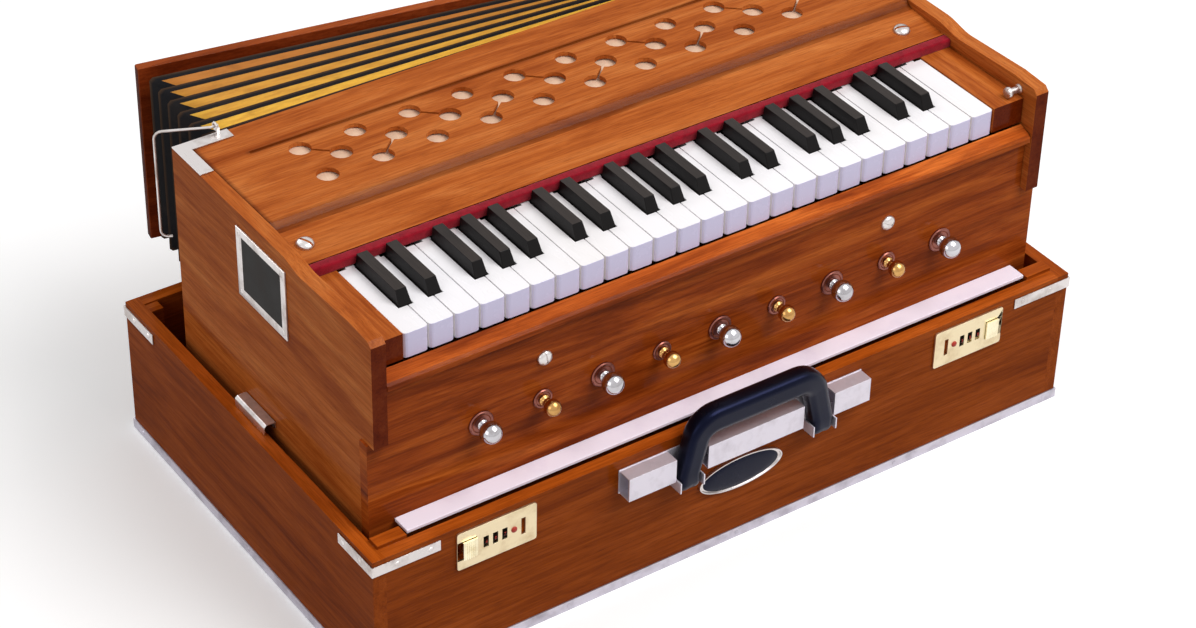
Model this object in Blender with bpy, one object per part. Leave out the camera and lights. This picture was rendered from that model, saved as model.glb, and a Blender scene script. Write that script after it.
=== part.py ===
# Folding suitcase harmonium, standing raised out of its lower case, bellows drawn open.
# Metres, +Z up, +X along the keyboard from low to high notes, -Y towards the player.
# The origin is the centre of the lower case's underside.

import math

import bmesh
import bpy
from mathutils import Matrix, Vector

# Clearances
FIT = 0.0003
RUNNING = 0.0005

# Lower case
CASE_HEIGHT = 0.124
CASE_WALL = 0.011
CASE_FLOOR = 0.006
CASE_GAP_LEFT = 0.007
CASE_GAP_RIGHT = 0.011
CASE_GAP_FRONT = 0.020
CASE_GAP_BACK = 0.054
BLOCK_LENGTH = 0.024
BLOCK_DEPTH = 0.011
BLOCK_DROP = 0.028
BLOCK_RISE = 0.003
REAR_BLOCK_BELOW_RIM = 0.001
JOINT_DEPTH = 0.0005

# Aluminium edge trim and its nails
TRIM_HEIGHT = 0.009
TRIM_THICKNESS = 0.0009
NAIL_RADIUS = 0.0019
NAIL_HEIGHT = 0.0007
NAILS_ALONG = 5
NAILS_ACROSS = 3
NAIL_MARGIN_ALONG = 0.012
NAIL_MARGIN_ACROSS = 0.016

# Corner straps
STRAP_FRONT_LEG = 0.056
STRAP_SIDE_LEG = 0.046
STRAP_HEIGHT = 0.009
STRAP_THICKNESS = 0.0009
STRAP_DROP = 0.0038
STRAP_SCREW_RADIUS = 0.0023
STRAP_SCREW_HEIGHT = 0.0008
STRAP_SCREW_SHARES = (0.35, 0.85)

# Combination locks
LOCK_LENGTH = 0.068
LOCK_HEIGHT = 0.034
LOCK_THICKNESS = 0.0018
LOCK_CORNER = 0.002
LOCK_BUTTON_EDGE = 0.0009
LOCK_FROM_END = 0.103
LOCK_DROP = 0.0045
LOCK_BUTTON_LENGTH = 0.012
LOCK_BUTTON_HEIGHT = 0.016
LOCK_BUTTON_PROUD = 0.0022
LOCK_BUTTON_TRAVEL = 0.004
LOCK_BUTTON_OFFSET = -0.0235
LOCK_BUTTON_REACH = 0.0040
DIAL_COUNT = 3
DIAL_PITCH = 0.008
DIAL_OFFSET = -0.0015
DIAL_RADIUS = 0.0045
DIAL_WIDTH = 0.0034
DIAL_SINK = 0.0016
DIAL_SPINDLE_RADIUS = 0.0014
DIAL_SPINDLE_END = 0.0012
DIAL_SIDES = 10
HASP_SLOT_WIDTH = 0.0036
HASP_SLOT_HEIGHT = 0.015
HASP_SLOT_OFFSET = 0.0225
INDEX_DOT_RADIUS = 0.0022
INDEX_DOT_OFFSET = 0.0145

# Carrying handle
CHANNEL_LENGTH = 0.226
CHANNEL_HEIGHT = 0.022
CHANNEL_DEPTH = 0.014
CHANNEL_WALL = 0.0014
CHANNEL_DROP = 0.0085
CHANNEL_LEAN_ROOM = 0.0055
STRIP_THICKNESS = 0.001
GRIP_SPAN = 0.124
GRIP_ASIDE = 0.004
GRIP_LEAN = 0.0065
GRIP_LEG_WIDTH = 0.019
GRIP_LEG_DEPTH = 0.0155
GRIP_BAR_HEIGHT = 0.021
GRIP_BAR_DEPTH = 0.018
GRIP_REACH = 0.049
GRIP_CORNER = 0.017
GRIP_STRAIGHT = 0.008
GRIP_FACET = 0.42
GRIP_PIVOT_DROP = 0.034
GRIP_PIVOT_OUT = 0.0107
GRIP_PIN_RADIUS = 0.0022
LUG_THICKNESS = 0.0015
LUG_HEIGHT = 0.010
LUG_DEPTH = 0.0165

# Oval badge, left blank
BADGE_LENGTH = 0.078
BADGE_HEIGHT = 0.029
BADGE_THICKNESS = 0.0025
BADGE_DROP = 0.058

# Side catches
CATCH_LENGTH = 0.044
CATCH_THICKNESS = 0.001
CATCH_HEIGHT = 0.009
CATCH_FROM_BACK = 0.206
CATCH_LAP = 0.0035
CATCH_CORNER = 0.002
CATCH_TONGUE = 0.006

# Raised cabinet
CABINET_DEPTH = 0.276
CABINET_HEIGHT = 0.206
CABINET_LIFT = 0.090
SIDE_BOARD = 0.012
BACK_BOARD = 0.010
BASE_BOARD = 0.008
FRONT_BOARD = 0.010
FRONT_OVERHANG = 0.002
EAR_PROUD = 0.0065
EAR_DROP = 0.095
SHOULDER_DEPTH = 0.160
SHOULDER_RUN = 0.029
SHOULDER_DROP = 0.0045
CHEEK_RUN = 0.028
CHEEK_RISE = 0.0028
CHEEK_FALL = 0.0015
CHEEK_CHAMFER = 0.004
LEDGE_DEPTH = 0.017
LEDGE_THICKNESS = 0.003
LEDGE_INSET_LEFT = 0.019
LEDGE_INSET_RIGHT = 0.0135
LEDGE_ABOVE_CASE = 0.0005

# Lip rail above the stops
LIP_DEPTH = 0.0125
LIP_HEIGHT = 0.0062
LIP_DROP = 0.0435
LIP_PROUD = 0.006
LIP_SLOPE = 0.0045
LIP_EDGE = 0.002

# Top panel with its pierced grille
TOP_THICKNESS = 0.008
TOP_DEPTH = 0.1235
COVE_RUN = 0.008
COVE_DROP = 0.0055
COVE_MIDDLE = (0.45, 0.75)
GROOVE_WIDTH = 0.003
GROOVE_DEPTH = 0.0012
GROOVE_FROM_BACK = 0.036
GROOVE_INSET = 0.033
HOLE_RADIUS = 0.0088
HOLE_MARGIN = 0.079
HOLE_ROW_PITCH = 0.0202
HOLE_ROW_FROM_BACK = 0.051
HOLE_COLUMNS = 10
HOLE_SIDES = 16
SLIT_WIDTH = 0.0022
GRILLE_THICKNESS = 0.0035
LINING_THICKNESS = 0.0012
LINING_MARGIN = 0.014

# Keys
KEY_PITCH = 0.0212
KEY_BLOCK_LEFT = 0.022
KEY_BLOCK_RIGHT = 0.030
KEY_GAP = 0.0008
KEY_DROP = 0.017
KEY_THICKNESS = 0.013
KEY_SKIRT = 0.008
KEY_SKIRT_DEPTH = 0.006
KEY_CORNER = 0.0032
KEY_FRONT_GAP = 0.0007
WHITE_VISIBLE = 0.089
WHITE_HEAD = 0.029
SHARP_WIDTH = 0.0105
SHARP_RISE = 0.0105
SHARP_TAPER = 0.0009
SHARP_SLOPE = 0.006
SHARP_VISIBLE = 0.060
SHANK_WIDTH = 0.0072
KEY_PIVOT_FROM_FRONT = 0.111
KEY_LENGTH = 0.197
PALLET_LENGTH = 0.040
KEY_DIP_DEGREES = 3.6
KEY_COUNT = 42
NOTE_NAMES = ("C", "Cs", "D", "Ds", "E", "F", "Fs", "G", "Gs", "A", "As", "B")
FIRST_OCTAVE = 2

# Key rail, felt and the action below
RAIL_THICKNESS_FRONT = 0.0060
RAIL_THICKNESS_BACK = 0.0095
RAIL_ABOVE_KEYS = 0.0022
RAIL_LAP = 0.002
KEY_BLOCK_RISE = 0.001
KEY_BLOCK_HEEL = 0.008
FELT_DEPTH = 0.0085
FELT_HEIGHT = 0.0065
REED_BOARD_THICKNESS = 0.012
REED_BOARD_LEDGE = 0.004
REED_BOARD_BACK = 0.012
BALANCE_WIDTH = 0.003
COUPLER_ROD = 0.0028
COUPLER_DROP = 0.0078
COUPLER_PITCH = 0.0078
COUPLER_FROM_PIVOT = 0.0100
REED_SLOT_WIDTH = 0.0055
REED_SLOT_LENGTH = 0.032
REED_PLATE_WIDTH = 0.0072
REED_PLATE_LENGTH = 0.044
REED_PLATE_THICKNESS = 0.0018
REED_SPINE = 0.004

# Stops
STOP_COUNT = 9
STOP_MARGIN = 0.0922
STOP_DROP = 0.114
STOP_TRAVEL = 0.012
STOP_STEM_RADIUS = 0.0028
STOP_STEM_INSIDE = 0.024
STOP_CENTRE_OUT = 0.0136
CHROME_KNOB_RADIUS = 0.0086
BRASS_KNOB_RADIUS = 0.0067
KNOB_NECK_RADIUS = 0.0034
KNOB_SIDES = 14
KNOB_FLAT_DEGREES = 14
ROSETTE_THICKNESS = 0.0016
ROSETTE_CHROME_RADIUS = 0.0100
ROSETTE_BRASS_RADIUS = 0.0078
ROSETTE_FACE = 0.8

# Cabinet fittings
RAIL_SCREW_RADIUS = 0.0066
RAIL_SCREW_HEIGHT = 0.0036
RAIL_SCREW_INSET_LEFT = 0.013
RAIL_SCREW_INSET_RIGHT = 0.027
PANEL_SCREW_RADIUS = 0.0050
PANEL_SCREW_HEIGHT = 0.0014
PANEL_SCREW_SPACING = 0.313
PANEL_SCREW_DROP = 0.0780
CORNER_PLATE_LEG = 0.046
CORNER_PLATE_SIDE_LEG = 0.044
CORNER_PLATE_WIDTH = 0.011
CORNER_PLATE_THICKNESS = 0.0009
PEG_RADIUS = 0.0026
PEG_LENGTH = 0.013
PEG_HEAD_RADIUS = 0.0042
PEG_HEAD_LENGTH = 0.003
PEG_FROM_FRONT = 0.020
PEG_ABOVE_KEYS = 0.0060

# Label frame on the left side, left blank
LABEL_LENGTH = 0.070
LABEL_HEIGHT = 0.060
LABEL_BORDER = 0.010
LABEL_THICKNESS = 0.0014
LABEL_RECESS = 0.0006
LABEL_FROM_BACK = 0.097
LABEL_DROP = 0.012

# Bellows
BELLOWS_HEIGHT = 0.158
BELLOWS_BOARD = 0.010
BELLOWS_CLOSED = 0.016
BELLOWS_OPEN_DEGREES = 9.6
BELLOWS_EDGE = 0.002
BELLOWS_INSET_LEFT = 0.022
BELLOWS_INSET_RIGHT = 0.012
BELLOWS_FOLDS = 6
FOLD_DEPTH = 0.013
FOLD_END_DEPTH = 0.016
FOLD_MARGIN = 0.004

# Latch wires
WIRE_RADIUS = 0.0011
WIRE_BEND = 0.006
WIRE_ARM = 0.040
WIRE_KNEE = 0.006
WIRE_TURN_DEGREES = 24.0
WIRE_DROP = 0.094
WIRE_HOOK = 0.0025
WIRE_OUT = 0.0022
WIRE_BESIDE = 0.0045
EYE_RADIUS = 0.0028
EYE_WIRE = 0.0009
EYE_TAB = 0.0024

WHITE_STEPS = (0, 2, 4, 5, 7, 9, 11)
SHARP_STEPS = (1, 3, 6, 8, 10)
COUPLER_ORDER = SHARP_STEPS + WHITE_STEPS

# Sizes and lines that several pieces share, worked out from the keyboard outwards
WHITE_COUNT = sum(1 for key in range(KEY_COUNT) if key % 12 in WHITE_STEPS)
KEYBOARD_LENGTH = WHITE_COUNT * KEY_PITCH
CABINET_LENGTH = KEYBOARD_LENGTH + KEY_BLOCK_LEFT + KEY_BLOCK_RIGHT + 2 * SIDE_BOARD
CASE_LENGTH = CABINET_LENGTH + CASE_GAP_LEFT + CASE_GAP_RIGHT + 2 * CASE_WALL
CASE_DEPTH = CABINET_DEPTH + CASE_GAP_FRONT + CASE_GAP_BACK + 2 * CASE_WALL
LOCK_SPACING = CASE_LENGTH - 2 * LOCK_FROM_END
HOLE_PITCH = (CABINET_LENGTH - 2 * HOLE_MARGIN) / (HOLE_COLUMNS - 0.5)
STOP_PITCH = (CABINET_LENGTH - 2 * STOP_MARGIN) / (STOP_COUNT - 1)
BELLOWS_LENGTH = CABINET_LENGTH - BELLOWS_INSET_LEFT - BELLOWS_INSET_RIGHT
FRONT_Y = -CASE_DEPTH / 2
BACK_Y = CASE_DEPTH / 2
CABINET_FRONT = FRONT_Y + CASE_WALL + CASE_GAP_FRONT
CABINET_BACK = CABINET_FRONT + CABINET_DEPTH
CABINET_TOP = CABINET_LIFT + CABINET_HEIGHT
CABINET_LEFT = -CASE_LENGTH / 2 + CASE_WALL + CASE_GAP_LEFT
CABINET_RIGHT = CABINET_LEFT + CABINET_LENGTH
CABINET_MIDDLE = (CABINET_LEFT + CABINET_RIGHT) / 2
INNER_LEFT = CABINET_LEFT + SIDE_BOARD
INNER_RIGHT = CABINET_RIGHT - SIDE_BOARD
LIP_TOP = CABINET_TOP - LIP_DROP
LIP_BACK = CABINET_FRONT - LIP_PROUD + LIP_DEPTH
KEY_FRONT = LIP_BACK + KEY_FRONT_GAP
KEY_TOP = CABINET_TOP - KEY_DROP
KEY_UNDER = KEY_TOP - KEY_THICKNESS
KEY_PIVOT_Y = KEY_FRONT + KEY_PIVOT_FROM_FRONT
KEY_END = KEY_FRONT + KEY_LENGTH
REED_BOARD_TOP = KEY_UNDER - KEY_SKIRT
REED_BOARD_UNDER = REED_BOARD_TOP - REED_BOARD_THICKNESS
RAIL_FRONT = KEY_FRONT + WHITE_VISIBLE
TOP_FRONT = CABINET_BACK - TOP_DEPTH - COVE_RUN
STOP_Z = CABINET_TOP - STOP_DROP
LOCK_Z = CASE_HEIGHT - LOCK_DROP - LOCK_HEIGHT / 2
CHANNEL_TOP = CASE_HEIGHT - CHANNEL_DROP
PIVOT_Y = FRONT_Y - GRIP_PIVOT_OUT
PIVOT_Z = CASE_HEIGHT - GRIP_PIVOT_DROP
HINGE_X = CABINET_RIGHT - BELLOWS_INSET_RIGHT
HINGE_Y = CABINET_BACK + BELLOWS_CLOSED
BELLOWS_TOP = CABINET_TOP
BELLOWS_UNDER = BELLOWS_TOP - BELLOWS_HEIGHT
WIRE_Y = CABINET_BACK + WIRE_OUT
WIRE_Z = CABINET_TOP + FIT + CORNER_PLATE_THICKNESS + FIT + EYE_WIRE * 2 + EYE_RADIUS - EYE_WIRE


def clear_scene():
    for item in list(bpy.data.objects):
        bpy.data.objects.remove(item, do_unlink=True)


def paint(name, colour, roughness, metallic=0.0):
    material = bpy.data.materials.new(name)
    material.use_nodes = True
    shader = material.node_tree.nodes["Principled BSDF"]
    shader.inputs["Base Color"].default_value = (*colour, 1.0)
    shader.inputs["Roughness"].default_value = roughness
    shader.inputs["Metallic"].default_value = metallic
    return material


def finish(name, bm, material, origin=(0, 0, 0), turn=0.0, smooth=None):
    """Make the object; its mesh is written about origin, then turned about Z there."""
    bmesh.ops.recalc_face_normals(bm, faces=bm.faces)
    mesh = bpy.data.meshes.new(name)
    bm.to_mesh(mesh)
    bm.free()
    mesh.transform(Matrix.Translation(-Vector(origin)))
    item = bpy.data.objects.new(name, mesh)
    bpy.context.scene.collection.objects.link(item)
    item.location = origin
    item.rotation_euler = (0, 0, turn)
    mesh.materials.append(material)
    if smooth:
        mesh.shade_smooth()
        mesh.set_sharp_from_angle(angle=math.radians(smooth))
    return item


def cut(item, name, bm, operation="DIFFERENCE"):
    """Subtract bm from item with a hidden helper object, or join it on with UNION."""
    bmesh.ops.recalc_face_normals(bm, faces=bm.faces)
    mesh = bpy.data.meshes.new(name)
    bm.to_mesh(mesh)
    bm.free()
    cutter = bpy.data.objects.new(name, mesh)
    bpy.context.scene.collection.objects.link(cutter)
    cutter.hide_render = True
    cutter.display_type = "WIRE"
    modifier = item.modifiers.new(name, "BOOLEAN")
    modifier.operation = operation
    modifier.solver = "EXACT"
    modifier.object = cutter
    return cutter


def join(item, name, bm):
    """Make bm, whose shells overlap item but not each other, one body with item."""
    return cut(item, name, bm, "UNION")


def add_box(bm, low, high):
    centre = (Vector(low) + Vector(high)) / 2
    size = Vector(high) - Vector(low)
    matrix = Matrix.Translation(centre) @ Matrix.Diagonal((*size, 1.0))
    return bmesh.ops.create_cube(bm, size=1.0, matrix=matrix)["verts"]


def add_prism(bm, outline, place, depth):
    """Extrude outline (pairs) by depth; place(a, b, t) gives the point at t from 0 to depth."""
    low = [bm.verts.new(place(a, b, 0.0)) for a, b in outline]
    high = [bm.verts.new(place(a, b, depth)) for a, b in outline]
    bm.faces.new(low)
    bm.faces.new(high)
    count = len(outline)
    for i in range(count):
        j = (i + 1) % count
        bm.faces.new((low[i], low[j], high[j], high[i]))
    return low + high


def add_turned(bm, profile, centre, axis, sides):
    """Turn profile, pairs of (radius, height), about axis through centre; ends lie on the axis."""
    turn = Vector((0, 0, 1)).rotation_difference(Vector(axis)).to_matrix()
    rings = []
    for radius, height in profile:
        if radius == 0:
            rings.append([bm.verts.new(Vector(centre) + turn @ Vector((0, 0, height)))])
            continue
        ring = []
        for i in range(sides):
            angle = 2 * math.pi * (i + 0.5) / sides
            spot = Vector((radius * math.cos(angle), radius * math.sin(angle), height))
            ring.append(bm.verts.new(Vector(centre) + turn @ spot))
        rings.append(ring)
    for low, high in zip(rings, rings[1:]):
        for i in range(sides):
            j = (i + 1) % sides
            if len(low) == 1:
                bm.faces.new((low[0], high[i], high[j]))
            elif len(high) == 1:
                bm.faces.new((low[i], low[j], high[0]))
            else:
                bm.faces.new((low[i], low[j], high[j], high[i]))
    for ring, end in ((rings[0], 0), (rings[-1], 1)):
        if len(ring) > 1:
            bm.faces.new(ring if end else ring[::-1])


def add_dome(bm, centre, axis, radius, height, sides=8):
    """Low screw or nail head standing on centre."""
    profile = [(radius, 0.0), (radius * 0.86, height * 0.7), (radius * 0.4, height)]
    add_turned(bm, profile, centre, axis, sides)


def add_tube(bm, points, radius, sides=8):
    """Round bar along points, with flat ends square to it."""
    points = [Vector(p) for p in points]
    rings = []
    side = None
    for i, point in enumerate(points):
        before = points[max(i - 1, 0)]
        after = points[min(i + 1, len(points) - 1)]
        along = (after - before).normalized()
        if side is None:
            side = along.orthogonal().normalized()
        side = (side - along * side.dot(along)).normalized()
        other = along.cross(side)
        ring = []
        for k in range(sides):
            angle = 2 * math.pi * k / sides
            ring.append(bm.verts.new(point + (side * math.cos(angle) + other * math.sin(angle)) * radius))
        rings.append(ring)
    for low, high in zip(rings, rings[1:]):
        for k in range(sides):
            m = (k + 1) % sides
            bm.faces.new((low[k], low[m], high[m], high[k]))
    bm.faces.new(rings[0][::-1])
    bm.faces.new(rings[-1])


def arc(centre, radius, start, end, steps):
    """Points on a circle from start to end degrees, both ends included."""
    points = []
    for i in range(steps + 1):
        angle = math.radians(start + (end - start) * i / steps)
        points.append((centre[0] + radius * math.cos(angle), centre[1] + radius * math.sin(angle)))
    return points


def in_xz(y):
    return lambda a, b, t: (a, y + t, b)


def in_xy(z):
    return lambda a, b, t: (a, b, z + t)


def in_yz(x):
    return lambda a, b, t: (x + t, a, b)


def lock_centres():
    """Centre of each lock and the way its button moves: outwards."""
    return ((-LOCK_SPACING / 2, 1.0), (LOCK_SPACING / 2, -1.0))


def stop_places():
    """Name, x and kind of each stop, left to right: chrome and brass by turns."""
    first = CABINET_MIDDLE - STOP_PITCH * (STOP_COUNT - 1) / 2
    places = []
    for i in range(STOP_COUNT):
        kind = "chrome" if i % 2 == 0 else "brass"
        places.append((f"stop_{i + 1}", first + i * STOP_PITCH, kind))
    return places


def key_places():
    """Semitone, is it white, and the key's centre for every key from the lowest up."""
    whites = [i for i in range(KEY_COUNT) if i % 12 in WHITE_STEPS]
    left = INNER_LEFT + KEY_BLOCK_LEFT
    places = []
    for i in range(KEY_COUNT):
        below = sum(1 for w in whites if w < i)
        if i in whites:
            places.append((i, True, left + (below + 0.5) * KEY_PITCH))
        else:
            places.append((i, False, left + below * KEY_PITCH + sharp_lean(i)))
    return places


def sharp_lean(semitone):
    """Sharps stand a little off the line between their white keys, as on any keyboard."""
    lean = {1: -0.0016, 3: 0.0016, 6: -0.0022, 8: 0.0, 10: 0.0022}
    return lean[semitone % 12]


def note_node(semitone):
    octave = FIRST_OCTAVE + semitone // 12
    return f"{NOTE_NAMES[semitone % 12]}{octave}"


def key_groups():
    """Keys that share a node, because the octave coupler is drawn and its rods join them."""
    groups = {}
    for semitone in range(KEY_COUNT):
        octave = semitone // 12
        lower = semitone
        if octave in (1, 3):
            lower = semitone - 12
        if octave == 2 and semitone % 12 > 5:
            lower = semitone - 24
        groups.setdefault(lower, []).append(semitone)
    return groups


def lock_pocket(bm, x, out):
    """Hollow in the front wall behind one lock, for its dials and its button's shank."""
    low, high = button_window(x, out)
    middle = x + out * DIAL_OFFSET
    far = middle + out * (dial_half_length() + FIT)
    deep = DIAL_SINK + DIAL_RADIUS + RUNNING
    tall = LOCK_BUTTON_HEIGHT / 2 + RUNNING
    add_box(
        bm,
        (min(low, far), FRONT_Y - TRIM_THICKNESS, LOCK_Z - tall),
        (max(high, far), FRONT_Y + deep, LOCK_Z + tall),
    )


def dial_half_length():
    return (DIAL_PITCH * (DIAL_COUNT - 1) + DIAL_WIDTH) / 2 + DIAL_SPINDLE_END


def button_window(x, out):
    """Ends of the window that the lock's button slides in, along X."""
    middle = x + out * LOCK_BUTTON_OFFSET
    ends = (
        middle - LOCK_BUTTON_LENGTH / 2 - FIT,
        middle + LOCK_BUTTON_LENGTH / 2 + FIT,
    )
    if out > 0:
        return ends[0] - LOCK_BUTTON_TRAVEL, ends[1]
    return ends[0], ends[1] + LOCK_BUTTON_TRAVEL


def build_case(wood):
    """Open tray: walls and floor in one, with a block in each corner that holds the cabinet."""
    half_length = CASE_LENGTH / 2
    bm = bmesh.new()
    outer = [(-half_length, FRONT_Y), (half_length, FRONT_Y), (half_length, BACK_Y), (-half_length, BACK_Y)]
    inner = [(x - math.copysign(CASE_WALL, x), y - math.copysign(CASE_WALL, y)) for x, y in outer]
    rings = []
    for outline, z in ((outer, 0), (outer, CASE_HEIGHT), (inner, CASE_HEIGHT), (inner, CASE_FLOOR)):
        rings.append([bm.verts.new((x, y, z)) for x, y in outline])
    for low, high in zip(rings, rings[1:]):
        for i in range(4):
            j = (i + 1) % 4
            bm.faces.new((low[i], low[j], high[j], high[i]))
    bm.faces.new(rings[0])
    bm.faces.new(rings[-1])
    case = finish("lower_case", bm, wood)

    bm = bmesh.new()
    for side in (-1, 1):
        for front in (True, False):
            y_wall = FRONT_Y + CASE_WALL if front else BACK_Y - CASE_WALL
            y_in = y_wall + (BLOCK_DEPTH if front else -BLOCK_DEPTH)
            y_wall -= JOINT_DEPTH if front else -JOINT_DEPTH
            x_wall = side * (half_length - CASE_WALL)
            x_in = x_wall - side * (BLOCK_LENGTH if front else BLOCK_DEPTH)
            x_wall += side * JOINT_DEPTH
            top = CASE_HEIGHT + (BLOCK_RISE if front else -REAR_BLOCK_BELOW_RIM)
            add_box(
                bm,
                (min(x_wall, x_in), min(y_wall, y_in), CASE_HEIGHT - BLOCK_DROP),
                (max(x_wall, x_in), max(y_wall, y_in), top),
            )
    join(case, "corner_blocks", bm)
    pocket = bmesh.new()
    for x, out in lock_centres():
        lock_pocket(pocket, x, out)
    cut(case, "lock_pockets", pocket)


def nail_places(length, count, margin):
    step = (length - 2 * margin) / (count - 1)
    return [-length / 2 + margin + i * step for i in range(count)]


def build_trim(metal):
    """Aluminium strip round the bottom edge, with flat nail heads."""
    bm = bmesh.new()
    rings = []
    lift = FIT
    near = FIT
    far = FIT + TRIM_THICKNESS
    for grow, z in ((far, lift), (far, TRIM_HEIGHT), (near, TRIM_HEIGHT), (near, lift)):
        x = CASE_LENGTH / 2 + grow
        y = CASE_DEPTH / 2 + grow
        rings.append([bm.verts.new((a * x, b * y, z)) for a, b in ((-1, -1), (1, -1), (1, 1), (-1, 1))])
    for k in range(4):
        low = rings[k]
        high = rings[(k + 1) % 4]
        for i in range(4):
            j = (i + 1) % 4
            bm.faces.new((low[i], low[j], high[j], high[i]))
    trim = finish("case_edge_trim", bm, metal)
    bm = bmesh.new()
    z = (TRIM_HEIGHT + lift) / 2
    out = far - JOINT_DEPTH
    rise = NAIL_HEIGHT + JOINT_DEPTH
    for side in (-1, 1):
        for x in nail_places(CASE_LENGTH, NAILS_ALONG, NAIL_MARGIN_ALONG):
            add_dome(bm, (x, side * (CASE_DEPTH / 2 + out), z), (0, side, 0), NAIL_RADIUS, rise, 6)
        for y in nail_places(CASE_DEPTH, NAILS_ACROSS, NAIL_MARGIN_ACROSS):
            add_dome(bm, (side * (CASE_LENGTH / 2 + out), y, z), (side, 0, 0), NAIL_RADIUS, rise, 6)
    join(trim, "nail_heads", bm)


def build_straps(metal):
    """Angle strap round each top corner of the case, two screws to a leg."""
    near = FIT
    far = FIT + STRAP_THICKNESS
    top = CASE_HEIGHT - STRAP_DROP
    out = far - JOINT_DEPTH
    rise = STRAP_SCREW_HEIGHT + JOINT_DEPTH
    x = CASE_LENGTH / 2
    y = CASE_DEPTH / 2
    for side_y, front_name in ((-1, "front"), (1, "back")):
        for side_x, side_name in ((-1, "left"), (1, "right")):
            bm = bmesh.new()
            outline = [
                (x - STRAP_FRONT_LEG, y + far), (x + far, y + far), (x + far, y - STRAP_SIDE_LEG),
                (x + near, y - STRAP_SIDE_LEG), (x + near, y + near), (x - STRAP_FRONT_LEG, y + near),
            ]
            outline = [(side_x * a, side_y * b) for a, b in outline]
            add_prism(bm, outline, in_xy(top - STRAP_HEIGHT), STRAP_HEIGHT)
            name = f"strap_{front_name}_{side_name}"
            strap = finish(name, bm, metal)
            bm = bmesh.new()
            z = top - STRAP_HEIGHT / 2
            for share in STRAP_SCREW_SHARES:
                spot = (side_x * (x - STRAP_FRONT_LEG * share), side_y * (y + out), z)
                add_dome(bm, spot, (0, side_y, 0), STRAP_SCREW_RADIUS, rise)
                spot = (side_x * (x + out), side_y * (y - STRAP_SIDE_LEG * share), z)
                add_dome(bm, spot, (side_x, 0, 0), STRAP_SCREW_RADIUS, rise)
            join(strap, f"{name}_screws", bm)


def build_lock(hand, x, out, brass, dark):
    """Combination lock: plate with its index dot, sliding button and three number wheels."""
    back = FRONT_Y - FIT
    front = back - LOCK_THICKNESS
    bm = bmesh.new()
    outline = rounded(x, LOCK_Z, LOCK_LENGTH, LOCK_HEIGHT, LOCK_CORNER, 2)
    add_prism(bm, outline, in_xz(front), LOCK_THICKNESS)
    plate = finish(f"lock_plate_{hand}", bm, brass)
    bm = bmesh.new()
    dot = (x + out * INDEX_DOT_OFFSET, front + JOINT_DEPTH, LOCK_Z)
    add_dome(bm, dot, (0, -1, 0), INDEX_DOT_RADIUS, LOCK_THICKNESS / 2 + JOINT_DEPTH)
    join(plate, f"index_dot_{hand}", bm)

    cutter = bmesh.new()
    low = front - LOCK_THICKNESS
    high = back + LOCK_THICKNESS
    window = button_window(x, out)
    half = LOCK_BUTTON_HEIGHT / 2 + RUNNING
    add_box(cutter, (window[0], low, LOCK_Z - half), (window[1], high, LOCK_Z + half))
    for k in range(DIAL_COUNT):
        middle = x + out * DIAL_OFFSET + (k - (DIAL_COUNT - 1) / 2) * DIAL_PITCH
        wide = DIAL_WIDTH / 2 + RUNNING
        tall = DIAL_RADIUS + RUNNING
        add_box(cutter, (middle - wide, low, LOCK_Z - tall), (middle + wide, high, LOCK_Z + tall))
    middle = x + out * HASP_SLOT_OFFSET
    wide = HASP_SLOT_WIDTH / 2
    tall = HASP_SLOT_HEIGHT / 2
    add_box(cutter, (middle - wide, low, LOCK_Z - tall), (middle + wide, high, LOCK_Z + tall))
    cut(plate, f"lock_windows_{hand}", cutter)

    bm = bmesh.new()
    middle = x + out * LOCK_BUTTON_OFFSET
    half = LOCK_BUTTON_LENGTH / 2
    tall = LOCK_BUTTON_HEIGHT / 2
    add_box(
        bm,
        (middle - half, front - LOCK_BUTTON_PROUD, LOCK_Z - tall),
        (middle + half, FRONT_Y + LOCK_BUTTON_REACH - FIT, LOCK_Z + tall),
    )
    outer = [e for e in bm.edges if all(v.co.y < front for v in e.verts)]
    bmesh.ops.bevel(bm, geom=outer, offset=LOCK_BUTTON_EDGE, segments=1, affect="EDGES")
    finish(f"lock_button_{hand}", bm, brass, origin=(middle, FRONT_Y, LOCK_Z))

    bm = bmesh.new()
    centre = (x + out * DIAL_OFFSET, FRONT_Y + DIAL_SINK, LOCK_Z)
    end = dial_half_length()
    profile = [(DIAL_SPINDLE_RADIUS, -end)]
    for k in range(DIAL_COUNT):
        start = (k - (DIAL_COUNT - 1) / 2) * DIAL_PITCH - DIAL_WIDTH / 2
        profile.append((DIAL_SPINDLE_RADIUS, start))
        profile.append((DIAL_RADIUS, start))
        profile.append((DIAL_RADIUS, start + DIAL_WIDTH))
        profile.append((DIAL_SPINDLE_RADIUS, start + DIAL_WIDTH))
    profile.append((DIAL_SPINDLE_RADIUS, end))
    add_turned(bm, profile, centre, (1, 0, 0), DIAL_SIDES)
    finish(f"lock_dials_{hand}", bm, dark, origin=centre)


def rounded(a, b, length, height, radius, steps):
    """Outline of a rectangle about (a, b) with round corners."""
    points = []
    for sa, sb, start in ((1, 1, 0), (-1, 1, 90), (-1, -1, 180), (1, -1, 270)):
        centre = (a + sa * (length / 2 - radius), b + sb * (height / 2 - radius))
        points += arc(centre, radius, start, start + 90, steps)
    return points


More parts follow.
